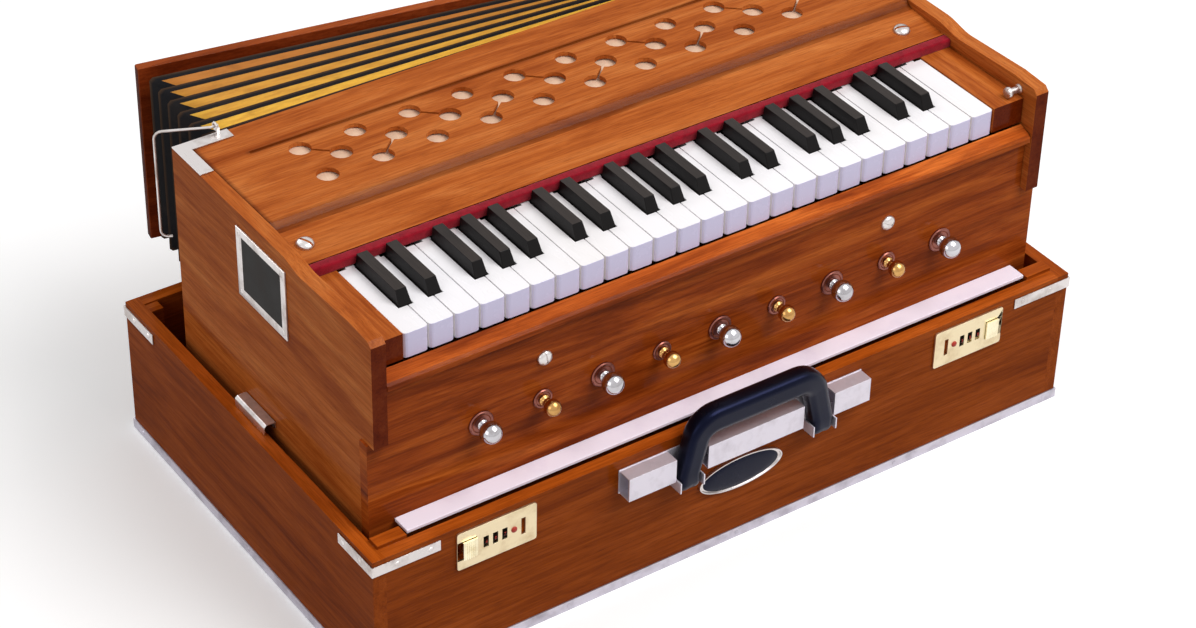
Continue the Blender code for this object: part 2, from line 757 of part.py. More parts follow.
def build_handle_mount(chrome):
    """Back strip with a tab below each leg, three lengths of open channel, lugs and pins."""
    back = FRONT_Y - FIT
    strip_front = back - STRIP_THICKNESS
    half = CHANNEL_LENGTH / 2
    low = CHANNEL_TOP - CHANNEL_HEIGHT
    leg = GRIP_SPAN / 2
    gap = GRIP_LEG_WIDTH / 2 + RUNNING
    tab = gap + LUG_THICKNESS
    foot = PIVOT_Z - LUG_HEIGHT / 2
    outline = [(half, CHANNEL_TOP), (-half, CHANNEL_TOP), (-half, low)]
    for x in (GRIP_ASIDE - leg, GRIP_ASIDE + leg):
        outline += [(x - tab, low), (x - tab, foot), (x + tab, foot), (x + tab, low)]
    outline.append((half, low))
    bm = bmesh.new()
    add_prism(bm, outline, in_xz(strip_front), STRIP_THICKNESS)
    mount = finish("handle_mount", bm, chrome, smooth=40)

    bm = bmesh.new()
    seat = strip_front + JOINT_DEPTH
    face = FRONT_Y - CHANNEL_DEPTH
    wall = CHANNEL_WALL
    top = CHANNEL_TOP - JOINT_DEPTH
    bottom = low + JOINT_DEPTH
    outline = [
        (seat, top), (face, top), (face, bottom), (seat, bottom),
        (seat, bottom + wall), (face + wall, bottom + wall), (face + wall, top - wall), (seat, top - wall),
    ]
    room = tab + FIT
    ends = half - JOINT_DEPTH
    left = GRIP_ASIDE - leg
    right = GRIP_ASIDE + leg
    inside = room + CHANNEL_LEAN_ROOM
    for start, end in ((-ends, left - room), (left + inside, right - inside), (right + room, ends)):
        add_prism(bm, outline, in_yz(start), end - start)
    join(mount, "channel_lengths", bm)

    bm = bmesh.new()
    for side in (-1, 1):
        for way in (-1, 1):
            a = GRIP_ASIDE + side * leg + way * gap
            b = a + way * (LUG_THICKNESS - FIT)
            add_box(
                bm,
                (min(a, b), PIVOT_Y - LUG_DEPTH / 2, foot + FIT),
                (max(a, b), seat, PIVOT_Z + LUG_HEIGHT / 2),
            )
    join(mount, "pivot_lugs", bm)
    bm = bmesh.new()
    for side in (-1, 1):
        end = gap + LUG_THICKNESS / 2
        x = GRIP_ASIDE + side * leg
        spots = [(x - end, PIVOT_Y, PIVOT_Z), (x + end, PIVOT_Y, PIVOT_Z)]
        add_tube(bm, spots, GRIP_PIN_RADIUS, 10)
    join(mount, "pivot_pins", bm)


def grip_section(half_wide, half_deep):
    """Eight corners of a leg or of the bar, across and through."""
    c = GRIP_FACET
    return [
        (half_wide, half_deep * c), (half_wide * c, half_deep), (-half_wide * c, half_deep),
        (-half_wide, half_deep * c), (-half_wide, -half_deep * c), (-half_wide * c, -half_deep),
        (half_wide * c, -half_deep), (half_wide, -half_deep * c),
    ]


def grip_stations():
    """Left half of the grip: X from its middle, Z, turn of the section and half its depth."""
    leg = GRIP_SPAN / 2
    foot = GRIP_LEG_DEPTH / 2
    stations = []
    for degrees in (80, 60, 35, 0):
        angle = math.radians(degrees)
        stations.append((-leg, PIVOT_Z - foot * math.sin(angle), 0.0, foot * math.cos(angle)))
    stations.append((-leg, PIVOT_Z + GRIP_STRAIGHT, 0.0, foot))
    centre = (-leg + GRIP_LEAN + GRIP_CORNER, PIVOT_Z + GRIP_REACH - GRIP_CORNER)
    for x, z in arc(centre, GRIP_CORNER, 165, 90, 5):
        turn = math.atan2(z - centre[1], x - centre[0])
        stations.append((x, z, math.pi - turn, foot))
    return stations


def build_grip(plastic):
    """Moulded grip: two legs with rounded feet, joined by a thicker bar; it turns on two pins."""
    leg = GRIP_SPAN / 2
    foot = GRIP_LEG_DEPTH / 2
    stations = grip_stations()
    mirrored = [(-x, z, math.pi - turn, deep) for x, z, turn, deep in reversed(stations)]
    bm = bmesh.new()
    rings = []
    for x, z, turn, deep in stations + mirrored:
        share = math.sin(turn)
        wide = (GRIP_LEG_WIDTH + (GRIP_BAR_HEIGHT - GRIP_LEG_WIDTH) * share) / 2
        deep = deep + (GRIP_BAR_DEPTH / 2 - foot) * share
        across = Vector((math.cos(turn), 0, -math.sin(turn)))
        ring = []
        for a, b in grip_section(wide, deep):
            ring.append(bm.verts.new(Vector((GRIP_ASIDE + x, PIVOT_Y + b, z)) + across * a))
        rings.append(ring)
    for low, high in zip(rings, rings[1:]):
        for k in range(8):
            m = (k + 1) % 8
            bm.faces.new((low[k], low[m], high[m], high[k]))
    bm.faces.new(rings[0])
    bm.faces.new(rings[-1])
    item = finish("handle_grip", bm, plastic, origin=(0, PIVOT_Y, PIVOT_Z), smooth=50)
    cutter = bmesh.new()
    for side in (-1, 1):
        reach = GRIP_LEG_WIDTH
        x = GRIP_ASIDE + side * leg
        spots = [(x - reach, PIVOT_Y, PIVOT_Z), (x + reach, PIVOT_Y, PIVOT_Z)]
        add_tube(cutter, spots, GRIP_PIN_RADIUS + RUNNING, 10)
    cut(item, "grip_bores", cutter)


def build_badge(plastic):
    """Oval plate below the handle, with a raised rim; its face is blank."""
    bm = bmesh.new()
    y = FRONT_Y - FIT
    z = CASE_HEIGHT - BADGE_DROP
    profile = [(1.0, 0.0), (1.0, 0.55), (0.95, 1.0), (0.86, 1.0), (0.84, 0.6)]
    add_turned(bm, [(r, h) for r, h in profile], (0, 0, 0), (0, -1, 0), 32)
    half_length = BADGE_LENGTH / 2
    half_height = BADGE_HEIGHT / 2
    for v in bm.verts:
        v.co = Vector((v.co.x * half_length, y + v.co.y * BADGE_THICKNESS, z + v.co.z * half_height))
    finish("badge_plate", bm, plastic, smooth=30)


def build_catches(nickel):
    """Bent hood over the gap at each side, standing on the case wall's inner edge."""
    low = CASE_HEIGHT + FIT
    y = BACK_Y - CATCH_FROM_BACK
    for side, cabinet, name in ((-1, CABINET_LEFT, "left"), (1, CABINET_RIGHT, "right")):
        wall = side * (CASE_LENGTH / 2 - CASE_WALL + CATCH_LAP)
        end = cabinet + side * RUNNING
        t = side * -CATCH_THICKNESS
        top = low + CATCH_HEIGHT
        tip = top - CATCH_TONGUE
        inside = top - CATCH_THICKNESS
        outline = [
            (wall, low), (wall, top - CATCH_CORNER), (wall + t * 2, top), (end, top), (end, tip),
            (end - t, tip),
            (end - t, inside), (wall + t * 2, inside), (wall + t, inside - CATCH_CORNER), (wall + t, low),
        ]
        bm = bmesh.new()
        add_prism(bm, outline, in_xz(y), CATCH_LENGTH)
        finish(f"side_catch_{name}", bm, nickel)


def side_board_outline():
    """Side board seen from the side: ear and cheek in front, shoulder, high back."""
    front = CABINET_FRONT
    ear = front - EAR_PROUD
    behind = front + FRONT_BOARD + FIT
    notch = CABINET_TOP - EAR_DROP
    low = CABINET_TOP - SHOULDER_DROP
    cheek = low + CHEEK_RISE
    shoulder = CABINET_BACK - SHOULDER_DEPTH
    points = [(CABINET_BACK, CABINET_LIFT), (CABINET_BACK, CABINET_TOP), (shoulder, CABINET_TOP)]
    for i in range(1, 5):
        share = i / 5
        z = CABINET_TOP - SHOULDER_DROP * (1 - math.cos(math.pi * share)) / 2
        points.append((shoulder - SHOULDER_RUN * share, z))
    points += [
        (shoulder - SHOULDER_RUN, low), (ear + CHEEK_RUN, cheek), (ear + CHEEK_CHAMFER, cheek - CHEEK_FALL),
        (ear, cheek - CHEEK_FALL - CHEEK_CHAMFER), (ear, notch), (behind, notch), (behind, CABINET_LIFT),
    ]
    return points


def build_cabinet(wood, front_wood):
    """Side, back and base boards, then the front panel with its lip rail and the stop holes."""
    bm = bmesh.new()
    outline = side_board_outline()
    add_prism(bm, outline, in_yz(CABINET_LEFT), SIDE_BOARD)
    add_prism(bm, outline, in_yz(INNER_RIGHT), SIDE_BOARD)
    shell = finish("cabinet_shell", bm, wood)
    bm = bmesh.new()
    base = CABINET_LIFT + JOINT_DEPTH
    back = CABINET_BACK - JOINT_DEPTH
    behind_front = CABINET_FRONT + FRONT_BOARD + FIT + JOINT_DEPTH
    back_top = CABINET_TOP - TOP_THICKNESS - FIT
    boards = [
        (behind_front, base), (back, base), (back, back_top), (back - BACK_BOARD, back_top),
        (back - BACK_BOARD, base + BASE_BOARD), (behind_front, base + BASE_BOARD),
    ]
    start = INNER_LEFT - JOINT_DEPTH
    add_prism(bm, boards, in_yz(start), INNER_RIGHT + JOINT_DEPTH - start)
    peg_y = CABINET_FRONT - EAR_PROUD + PEG_FROM_FRONT
    spot = (INNER_RIGHT + JOINT_DEPTH, peg_y, KEY_TOP + PEG_ABOVE_KEYS)
    length = PEG_LENGTH + JOINT_DEPTH
    shank = length - PEG_HEAD_LENGTH
    profile = [(PEG_RADIUS, 0), (PEG_RADIUS, shank), (PEG_HEAD_RADIUS, shank), (PEG_HEAD_RADIUS, length)]
    add_turned(bm, profile, spot, (-1, 0, 0), 10)
    join(shell, "back_base_and_peg", bm)

    left = INNER_LEFT + FIT
    right = INNER_RIGHT - FIT
    bm = bmesh.new()
    step = CABINET_TOP - EAR_DROP - FIT
    wide_left = CABINET_LEFT - FRONT_OVERHANG
    wide_right = CABINET_RIGHT + FRONT_OVERHANG
    panel_top = LIP_TOP - LIP_HEIGHT / 2
    outline = [
        (wide_left, CABINET_LIFT), (wide_right, CABINET_LIFT), (wide_right, step), (right, step),
        (right, panel_top), (left, panel_top), (left, step), (wide_left, step),
    ]
    add_prism(bm, outline, in_xz(CABINET_FRONT), FRONT_BOARD)
    panel = finish("front_panel", bm, front_wood)
    bm = bmesh.new()
    nose = CABINET_FRONT - LIP_PROUD
    lip = [
        (nose, LIP_TOP - LIP_HEIGHT), (LIP_BACK, LIP_TOP - LIP_HEIGHT), (LIP_BACK, LIP_TOP + LIP_SLOPE),
        (nose + LIP_EDGE, LIP_TOP), (nose, LIP_TOP - LIP_EDGE),
    ]
    add_prism(bm, lip, in_yz(left + JOINT_DEPTH), right - left - 2 * JOINT_DEPTH)
    for _, x, kind in stop_places():
        radius = ROSETTE_CHROME_RADIUS if kind == "chrome" else ROSETTE_BRASS_RADIUS
        profile = [
            (radius, -JOINT_DEPTH), (radius, ROSETTE_THICKNESS / 2),
            (radius * ROSETTE_FACE, ROSETTE_THICKNESS),
        ]
        add_turned(bm, profile, (x, CABINET_FRONT, STOP_Z), (0, -1, 0), KNOB_SIDES)
    for side in (-1, 1):
        x = CABINET_MIDDLE + side * PANEL_SCREW_SPACING / 2
        spot = (x, CABINET_FRONT + JOINT_DEPTH, CABINET_TOP - PANEL_SCREW_DROP)
        add_dome(bm, spot, (0, -1, 0), PANEL_SCREW_RADIUS, PANEL_SCREW_HEIGHT + JOINT_DEPTH, 10)
    join(panel, "lip_rosettes_and_screws", bm)
    cutter = bmesh.new()
    for _, x, _ in stop_places():
        bore = STOP_STEM_RADIUS + RUNNING
        profile = [(bore, -FRONT_BOARD), (bore, FRONT_BOARD * 2)]
        add_turned(cutter, profile, (x, CABINET_FRONT, STOP_Z), (0, 1, 0), 12)
    cut(panel, "stop_holes", cutter)


def build_ledge(white):
    """White strip along the foot of the cabinet's front, just above the case wall."""
    bm = bmesh.new()
    low = CASE_HEIGHT + LEDGE_ABOVE_CASE
    back = CABINET_FRONT - FIT
    add_box(
        bm,
        (CABINET_LEFT + LEDGE_INSET_LEFT, back - LEDGE_DEPTH, low),
        (CABINET_RIGHT - LEDGE_INSET_RIGHT, back, low + LEDGE_THICKNESS),
    )
    finish("front_strip", bm, white)


def grille_rows():
    """Centres of the three rows of holes: the middle row stands half a pitch to the right."""
    first = CABINET_LEFT + HOLE_MARGIN
    back = CABINET_BACK - HOLE_ROW_FROM_BACK
    rows = {"back": [], "middle": [], "front": []}
    for i in range(HOLE_COLUMNS):
        rows["back"].append((first + i * HOLE_PITCH, back))
        rows["front"].append((first + i * HOLE_PITCH, back - 2 * HOLE_ROW_PITCH))
        rows["middle"].append((first + (i + 0.5) * HOLE_PITCH, back - HOLE_ROW_PITCH))
    return rows


def hole_outline(centre):
    return arc(centre, HOLE_RADIUS, 0, 360, HOLE_SIDES)[:-1]


def joined_outline(a, b):
    """Two round holes joined by a narrow slit, as one outline."""
    way = Vector((b[0] - a[0], b[1] - a[1])).normalized()
    heading = math.degrees(math.atan2(way.y, way.x))
    open_half = math.degrees(math.asin(SLIT_WIDTH / 2 / HOLE_RADIUS))
    first = arc(a, HOLE_RADIUS, heading + open_half, heading + 360 - open_half, HOLE_SIDES)
    second = arc(b, HOLE_RADIUS, heading + 180 + open_half, heading + 540 - open_half, HOLE_SIDES)
    return first + second


def grille_outlines():
    """Every hole of the grille, joined in pairs as the fretwork has them."""
    rows = grille_rows()
    outlines = []
    for i in range(HOLE_COLUMNS):
        if i % 2 == 0:
            outlines.append(joined_outline(rows["back"][i], rows["middle"][i]))
            outlines.append(hole_outline(rows["front"][i]))
        else:
            outlines.append(hole_outline(rows["back"][i]))
            outlines.append(joined_outline(rows["middle"][i], rows["front"][i]))
    return outlines


def build_top(wood, lining):
    """Top panel: back frame, groove, pierced field and the cove down to the key rail."""
    left = INNER_LEFT + FIT
    right = INNER_RIGHT - FIT
    under = CABINET_TOP - TOP_THICKNESS
    outline = [
        (CABINET_BACK, under), (CABINET_BACK, CABINET_TOP), (TOP_FRONT + COVE_RUN, CABINET_TOP),
        (TOP_FRONT + COVE_RUN * COVE_MIDDLE[0], CABINET_TOP - COVE_DROP * COVE_MIDDLE[1]),
        (TOP_FRONT, CABINET_TOP - COVE_DROP), (TOP_FRONT, under),
    ]
    bm = bmesh.new()
    add_prism(bm, outline, in_yz(left), right - left)
    panel = finish("top_panel", bm, wood)
    rows = grille_rows()
    first = rows["front"][0]
    last = (rows["middle"][-1][0], rows["back"][0][1])
    lining_top = CABINET_TOP - GRILLE_THICKNESS - FIT
    rebate = LINING_MARGIN + FIT
    cutter = bmesh.new()
    add_box(
        cutter,
        (first[0] - rebate, first[1] - rebate, under - TOP_THICKNESS),
        (last[0] + rebate, last[1] + rebate, CABINET_TOP - GRILLE_THICKNESS),
    )
    cut(panel, "lining_rebate", cutter)
    cutter = bmesh.new()
    for hole in grille_outlines():
        add_prism(cutter, hole, in_xy(under - TOP_THICKNESS), TOP_THICKNESS * 3)
    groove = CABINET_BACK - GROOVE_FROM_BACK
    add_box(
        cutter,
        (left + GROOVE_INSET, groove - GROOVE_WIDTH / 2, CABINET_TOP - GROOVE_DEPTH),
        (right - GROOVE_INSET, groove + GROOVE_WIDTH / 2, CABINET_TOP + GROOVE_DEPTH),
    )
    cut(panel, "grille_holes", cutter)

    bm = bmesh.new()
    add_box(
        bm,
        (first[0] - LINING_MARGIN, first[1] - LINING_MARGIN, lining_top - LINING_THICKNESS),
        (last[0] + LINING_MARGIN, last[1] + LINING_MARGIN, lining_top),
    )
    finish("grille_lining", bm, lining)


def build_rail(wood, felt):
    """Sloping key rail with the blocks at the keyboard's ends, and the felt along its front."""
    left = INNER_LEFT + FIT
    right = INNER_RIGHT - FIT
    under = KEY_TOP + RAIL_ABOVE_KEYS
    front = RAIL_FRONT + FELT_DEPTH + FIT
    back = TOP_FRONT - FIT
    outline = [
        (front, under), (back, under), (back, under + RAIL_THICKNESS_BACK),
        (front, under + RAIL_THICKNESS_FRONT),
    ]
    bm = bmesh.new()
    add_prism(bm, outline, in_yz(left), right - left)
    rail = finish("key_rail", bm, wood)
    places = key_places()
    key_left = places[0][2] - KEY_PITCH / 2
    key_right = places[-1][2] + KEY_PITCH / 2
    heel = front + KEY_BLOCK_HEEL
    low = REED_BOARD_TOP + FIT
    face = KEY_TOP + KEY_BLOCK_RISE
    step = front + RAIL_LAP
    block = [
        (KEY_FRONT, low), (KEY_FRONT, face), (step, face), (step, under + RAIL_LAP),
        (heel, under + RAIL_LAP),
        (heel, low),
    ]
    bm = bmesh.new()
    for a, b in ((left + JOINT_DEPTH, key_left - FIT), (key_right + FIT, right - JOINT_DEPTH)):
        add_prism(bm, block, in_yz(a), b - a)
    slope = math.atan2(RAIL_THICKNESS_BACK - RAIL_THICKNESS_FRONT, back - front)
    rise = (RAIL_THICKNESS_FRONT + RAIL_THICKNESS_BACK) / 2
    axis = (0, -math.sin(slope), math.cos(slope))
    for x in (INNER_LEFT + RAIL_SCREW_INSET_LEFT, INNER_RIGHT - RAIL_SCREW_INSET_RIGHT):
        spot = (x, (front + back) / 2, under + rise - JOINT_DEPTH * 2)
        add_dome(bm, spot, axis, RAIL_SCREW_RADIUS, RAIL_SCREW_HEIGHT + JOINT_DEPTH * 2, 14)
    join(rail, "key_blocks_and_screws", bm)

    bm = bmesh.new()
    low = under - FIT
    add_box(bm, (left, RAIL_FRONT, low), (right, RAIL_FRONT + FELT_DEPTH, low + FELT_HEIGHT))
    finish("key_felt", bm, felt)


def build_action(wood, brass):
    """Reed board with the balance rail and a slot below every pallet, and the row of reeds."""
    left = INNER_LEFT + FIT
    right = INNER_RIGHT - FIT
    top = REED_BOARD_TOP - FIT
    balance = BALANCE_WIDTH / 2
    front = KEY_PIVOT_Y - REED_BOARD_LEDGE
    back = CABINET_BACK - REED_BOARD_BACK
    outline = [
        (front, REED_BOARD_UNDER), (back, REED_BOARD_UNDER), (back, top), (KEY_PIVOT_Y + balance, top),
        (KEY_PIVOT_Y + balance, KEY_UNDER - FIT), (KEY_PIVOT_Y - balance, KEY_UNDER - FIT),
        (KEY_PIVOT_Y - balance, top), (front, top),
    ]
    bm = bmesh.new()
    add_prism(bm, outline, in_yz(left), right - left)
    board = finish("reed_board", bm, wood)
    cutter = bmesh.new()
    middle = KEY_END - PALLET_LENGTH / 2
    slot = REED_SLOT_LENGTH / 2
    half = REED_SLOT_WIDTH / 2
    low = REED_BOARD_UNDER - REED_BOARD_THICKNESS
    for _, _, x in key_places():
        add_box(cutter, (x - half, middle - slot, low), (x + half, middle + slot, KEY_TOP))
    cut(board, "reed_slots", cutter)

    near = middle - REED_PLATE_LENGTH / 2
    far = middle + REED_PLATE_LENGTH / 2
    spine = far - REED_SPINE
    half = REED_PLATE_WIDTH / 2
    comb = []
    for _, _, x in key_places():
        comb += [(x - half, spine), (x - half, near), (x + half, near), (x + half, spine)]
    comb[0] = (comb[0][0], far)
    comb[-1] = (comb[-1][0], far)
    bm = bmesh.new()
    add_prism(bm, comb, in_xy(REED_BOARD_UNDER - FIT - REED_PLATE_THICKNESS), REED_PLATE_THICKNESS)
    finish("reeds", bm, brass)


def neighbour_cut(semitone, x, places):
    """How far a white key's sides stand in beside a sharp, left and right, along its tail."""
    half = KEY_PITCH / 2 - KEY_GAP / 2
    left = x - half
    right = x + half
    for other, white, place in places:
        if white:
            continue
        if other == semitone - 1:
            left = place + SHARP_WIDTH / 2 + KEY_GAP
        if other == semitone + 1:
            right = place - SHARP_WIDTH / 2 - KEY_GAP
    return left, right


def add_white_key(bm, semitone, x, places):
    """White key: broad head with round front corners, tail between sharps, shank and pallet."""
    half = KEY_PITCH / 2 - KEY_GAP / 2
    left, right = neighbour_cut(semitone, x, places)
    head = KEY_FRONT + KEY_SKIRT_DEPTH
    notch = KEY_FRONT + WHITE_HEAD - KEY_GAP
    tail = RAIL_FRONT - KEY_GAP
    shank = SHANK_WIDTH / 2
    pallet = KEY_END - PALLET_LENGTH
    r = KEY_CORNER
    front_right = arc((x + half - r, KEY_FRONT + r), r, 270, 360, 3)
    front_left = arc((x - half + r, KEY_FRONT + r), r, 180, 270, 3)
    skirt = front_left + front_right
    outline = skirt + [
        (x + half, head), (x + half, notch), (right, notch), (right, tail), (x + shank, tail),
        (x + shank, pallet),
        (x + shank, KEY_END), (x - shank, KEY_END), (x - shank, pallet), (x - shank, tail), (left, tail),
        (left, notch), (x - half, notch), (x - half, head),
    ]
    outline = without_repeats(outline)
    build_key_body(bm, outline, head, pallet, None)


def add_sharp_key(bm, x):
    """Sharp: tapered top with a sloping front, on a body that runs back to the pallet."""
    half = SHARP_WIDTH / 2
    shank = SHANK_WIDTH / 2
    front = KEY_FRONT + WHITE_HEAD
    back = front + SHARP_VISIBLE - 2 * KEY_GAP
    pallet = KEY_END - PALLET_LENGTH
    outline = [
        (x - half, front), (x + half, front), (x + half, back), (x + shank, back), (x + shank, pallet),
        (x + shank, KEY_END), (x - shank, KEY_END), (x - shank, pallet), (x - shank, back), (x - half, back),
    ]
    build_key_body(bm, outline, None, pallet, back)


def without_repeats(outline):
    """Drop points that repeat the one before them."""
    kept = []
    for point in outline:
        if not kept or math.dist(point, kept[-1]) > 1e-6:
            kept.append(point)
    return kept


def build_key_body(bm, outline, skirt_back, pallet_front, sharp_back):
    """Key body as a prism, then the skirt, the pallet and a sharp's top pulled out of its faces."""
    under = [bm.verts.new((a, b, KEY_UNDER)) for a, b in outline]
    over = [bm.verts.new((a, b, KEY_TOP)) for a, b in outline]
    count = len(outline)
    for i in range(count):
        j = (i + 1) % count
        bm.faces.new((under[i], under[j], over[j], over[i]))
    behind = [v for v in under if v.co.y >= pallet_front - 1e-6]
    pallet = bm.faces.new(behind)
    rest = [v for v in under if v.co.y <= pallet_front + 1e-6]
    if skirt_back is not None:
        skirt = bm.faces.new([v for v in under if v.co.y <= skirt_back + 1e-6])
        rest = split_loop(under, skirt_back, pallet_front)
    bm.faces.new(rest)
    if sharp_back is None:
        bm.faces.new(over)
    else:
        top = bm.faces.new([v for v in over if v.co.y <= sharp_back + 1e-6])
        middle = (outline[0][0] + outline[1][0]) / 2
        narrow = SHANK_WIDTH / 2 + 1e-6
        bm.faces.new([v for v in over if v.co.y >= sharp_back - 1e-6 and abs(v.co.x - middle) < narrow])
    drop = (Vector((0, 0, -KEY_SKIRT + FIT)), pallet)
    moves = [drop]
    if skirt_back is not None:
        moves.append((Vector((0, 0, -KEY_SKIRT)), skirt))
    for shift, face in moves:
        pulled = bmesh.ops.extrude_face_region(bm, geom=[face])
        verts = [g for g in pulled["geom"] if isinstance(g, bmesh.types.BMVert)]
        bmesh.ops.translate(bm, verts=verts, vec=shift)
        bmesh.ops.delete(bm, geom=[face], context="FACES_ONLY")
    if sharp_back is not None:
        pulled = bmesh.ops.extrude_face_region(bm, geom=[top])
        verts = [g for g in pulled["geom"] if isinstance(g, bmesh.types.BMVert)]
        bmesh.ops.translate(bm, verts=verts, vec=(0, 0, SHARP_RISE))
        front = min(v.co.y for v in verts)
        middle = sum(v.co.x for v in verts) / len(verts)
        for v in verts:
            v.co.x -= math.copysign(SHARP_TAPER, v.co.x - middle)
            if v.co.y < front + 1e-6:
                v.co.y += SHARP_SLOPE
        bmesh.ops.delete(bm, geom=[top], context="FACES_ONLY")


def split_loop(loop, near, far):
    """Points of the loop between two Y lines, both lines included."""
    return [v for v in loop if near - 1e-6 <= v.co.y <= far + 1e-6]


def coupler_outline(centres):
    """Rod below the keys with a post up into each key at centres, as one outline in X and Z."""
    half = COUPLER_ROD / 2
    top = KEY_UNDER - COUPLER_DROP
    low = top - COUPLER_ROD
    into = KEY_UNDER + COUPLER_ROD / 2
    points = [(centres[0] - half, low)]
    for i, x in enumerate(centres):
        if i:
            points.append((x - half, top))
        points += [(x - half, into), (x + half, into)]
        if i < len(centres) - 1:
            points.append((x + half, top))
    points.append((centres[-1] + half, low))
    return points


def build_keys(ivory, ebony):
    """All the keys; those of a node are joined by their coupler rod and turn together."""
    places = key_places()
    for lower, members in key_groups().items():
        bm = bmesh.new()
        for semitone in members:
            _, white, x = places[semitone]
            if white:
                add_white_key(bm, semitone, x, places)
            else:
                add_sharp_key(bm, x)
        white = places[lower][1]
        material = ivory if white else ebony
        notes = [note_node(semitone) for semitone in members]
        name = "key_" + "_".join(notes)
        item = finish(name, bm, material, origin=(places[lower][2], KEY_PIVOT_Y, KEY_UNDER))
        rank = COUPLER_ORDER.index(lower % 12)
        lane = KEY_PIVOT_Y - COUPLER_FROM_PIVOT - COUPLER_PITCH * rank - COUPLER_ROD / 2
        bm = bmesh.new()
        outline = coupler_outline([places[semitone][2] for semitone in members])
        add_prism(bm, outline, in_xz(lane), COUPLER_ROD)
        join(item, f"coupler_rod_{notes[0]}", bm)


def stop_profile(radius):
    """Stem, neck and ball of a stop, from its inner end outwards."""
    neck = KNOB_NECK_RADIUS
    centre = STOP_CENTRE_OUT
    back = -(FRONT_BOARD + STOP_STEM_INSIDE)
    start = ROSETTE_THICKNESS + FIT * 2
    profile = [(STOP_STEM_RADIUS, back), (STOP_STEM_RADIUS, start), (neck, start)]
    first = math.degrees(math.asin(neck / radius))
    for i in range(6):
        angle = math.radians(180 - first - (180 - first - KNOB_FLAT_DEGREES) * i / 5)
        profile.append((radius * math.sin(angle), centre + radius * math.cos(angle)))
    return profile


def build_stops(chrome, brass):
    """Nine stop knobs on sliding stems, through the front panel."""
    for name, x, kind in stop_places():
        bm = bmesh.new()
        radius = CHROME_KNOB_RADIUS if kind == "chrome" else BRASS_KNOB_RADIUS
        centre = (x, CABINET_FRONT, STOP_Z)
        add_turned(bm, stop_profile(radius), centre, (0, -1, 0), KNOB_SIDES)
        finish(name, bm, chrome if kind == "chrome" else brass, origin=centre, smooth=40)


def add_ring(bm, centre, axis, radius, wire, around=12, sides=6):
    """Small closed wire ring."""
    turn = Vector((0, 0, 1)).rotation_difference(Vector(axis)).to_matrix()
    rings = []
    for i in range(around):
        angle = 2 * math.pi * i / around
        ring = []
        for k in range(sides):
            lean = 2 * math.pi * k / sides
            reach = radius + wire * math.cos(lean)
            spot = Vector((reach * math.cos(angle), reach * math.sin(angle), wire * math.sin(lean)))
            ring.append(bm.verts.new(Vector(centre) + turn @ spot))
        rings.append(ring)
    for i in range(around):
        low = rings[i]
        high = rings[(i + 1) % around]
        for k in range(sides):
            m = (k + 1) % sides
            bm.faces.new((low[k], low[m], high[m], high[k]))


def build_corner_plates(nickel):
    """Nickel angle on each back corner of the top, with the eye that holds a latch wire."""
    for side, edge, name in ((1, CABINET_LEFT, "left"), (-1, CABINET_RIGHT, "right")):
        outline = [
            (edge, CABINET_BACK), (edge + side * CORNER_PLATE_LEG, CABINET_BACK),
            (edge + side * CORNER_PLATE_LEG, CABINET_BACK - CORNER_PLATE_WIDTH),
            (edge + side * CORNER_PLATE_WIDTH, CABINET_BACK - CORNER_PLATE_WIDTH),
            (edge + side * CORNER_PLATE_WIDTH, CABINET_BACK - CORNER_PLATE_SIDE_LEG),
            (edge, CABINET_BACK - CORNER_PLATE_SIDE_LEG),
        ]
        bm = bmesh.new()
        add_prism(bm, outline, in_xy(CABINET_TOP + FIT), CORNER_PLATE_THICKNESS)
        plate = finish(f"corner_plate_{name}", bm, nickel, smooth=35)
        eye_x = edge + side * (WIRE_ARM - EYE_TAB)
        half = EYE_TAB / 2
        bm = bmesh.new()
        add_box(
            bm,
            (eye_x - half, CABINET_BACK - FIT - EYE_TAB, CABINET_TOP + FIT + CORNER_PLATE_THICKNESS / 2),
            (eye_x + half, CABINET_BACK - FIT, WIRE_Z + EYE_WIRE),
        )
        join(plate, f"eye_tab_{name}", bm)
        bm = bmesh.new()
        add_ring(bm, (eye_x, WIRE_Y, WIRE_Z), (1, 0, 0), EYE_RADIUS, EYE_WIRE)
        join(plate, f"eye_{name}", bm)


def build_label(nickel):
    """Framed plate on the left side board; its field is blank."""
    face = CABINET_LEFT - FIT
    y = CABINET_BACK - LABEL_FROM_BACK - LABEL_LENGTH / 2
    z = CABINET_TOP - LABEL_DROP - LABEL_HEIGHT / 2
    bm = bmesh.new()
    add_box(
        bm,
        (face - LABEL_THICKNESS, y - LABEL_LENGTH / 2, z - LABEL_HEIGHT / 2),
        (face, y + LABEL_LENGTH / 2, z + LABEL_HEIGHT / 2),
    )
    plate = finish("label_plate", bm, nickel)
    cutter = bmesh.new()
    field_length = LABEL_LENGTH / 2 - LABEL_BORDER
    field_height = LABEL_HEIGHT / 2 - LABEL_BORDER
    add_box(
        cutter,
        (face - LABEL_THICKNESS * 2, y - field_length, z - field_height),
        (face - LABEL_THICKNESS + LABEL_RECESS, y + field_length, z + field_height),
    )
    cut(plate, "label_field", cutter)


def fan_point(share, along, z):
    """Point of the opened bellows: share 0 at the cabinet, 1 at the board, along from the hinge."""
    angle = math.radians(BELLOWS_OPEN_DEGREES) * share
    y = CABINET_BACK + FIT + (BELLOWS_CLOSED - 2 * FIT) * share
    return (HINGE_X - along * math.cos(angle), y + along * math.sin(angle), z)


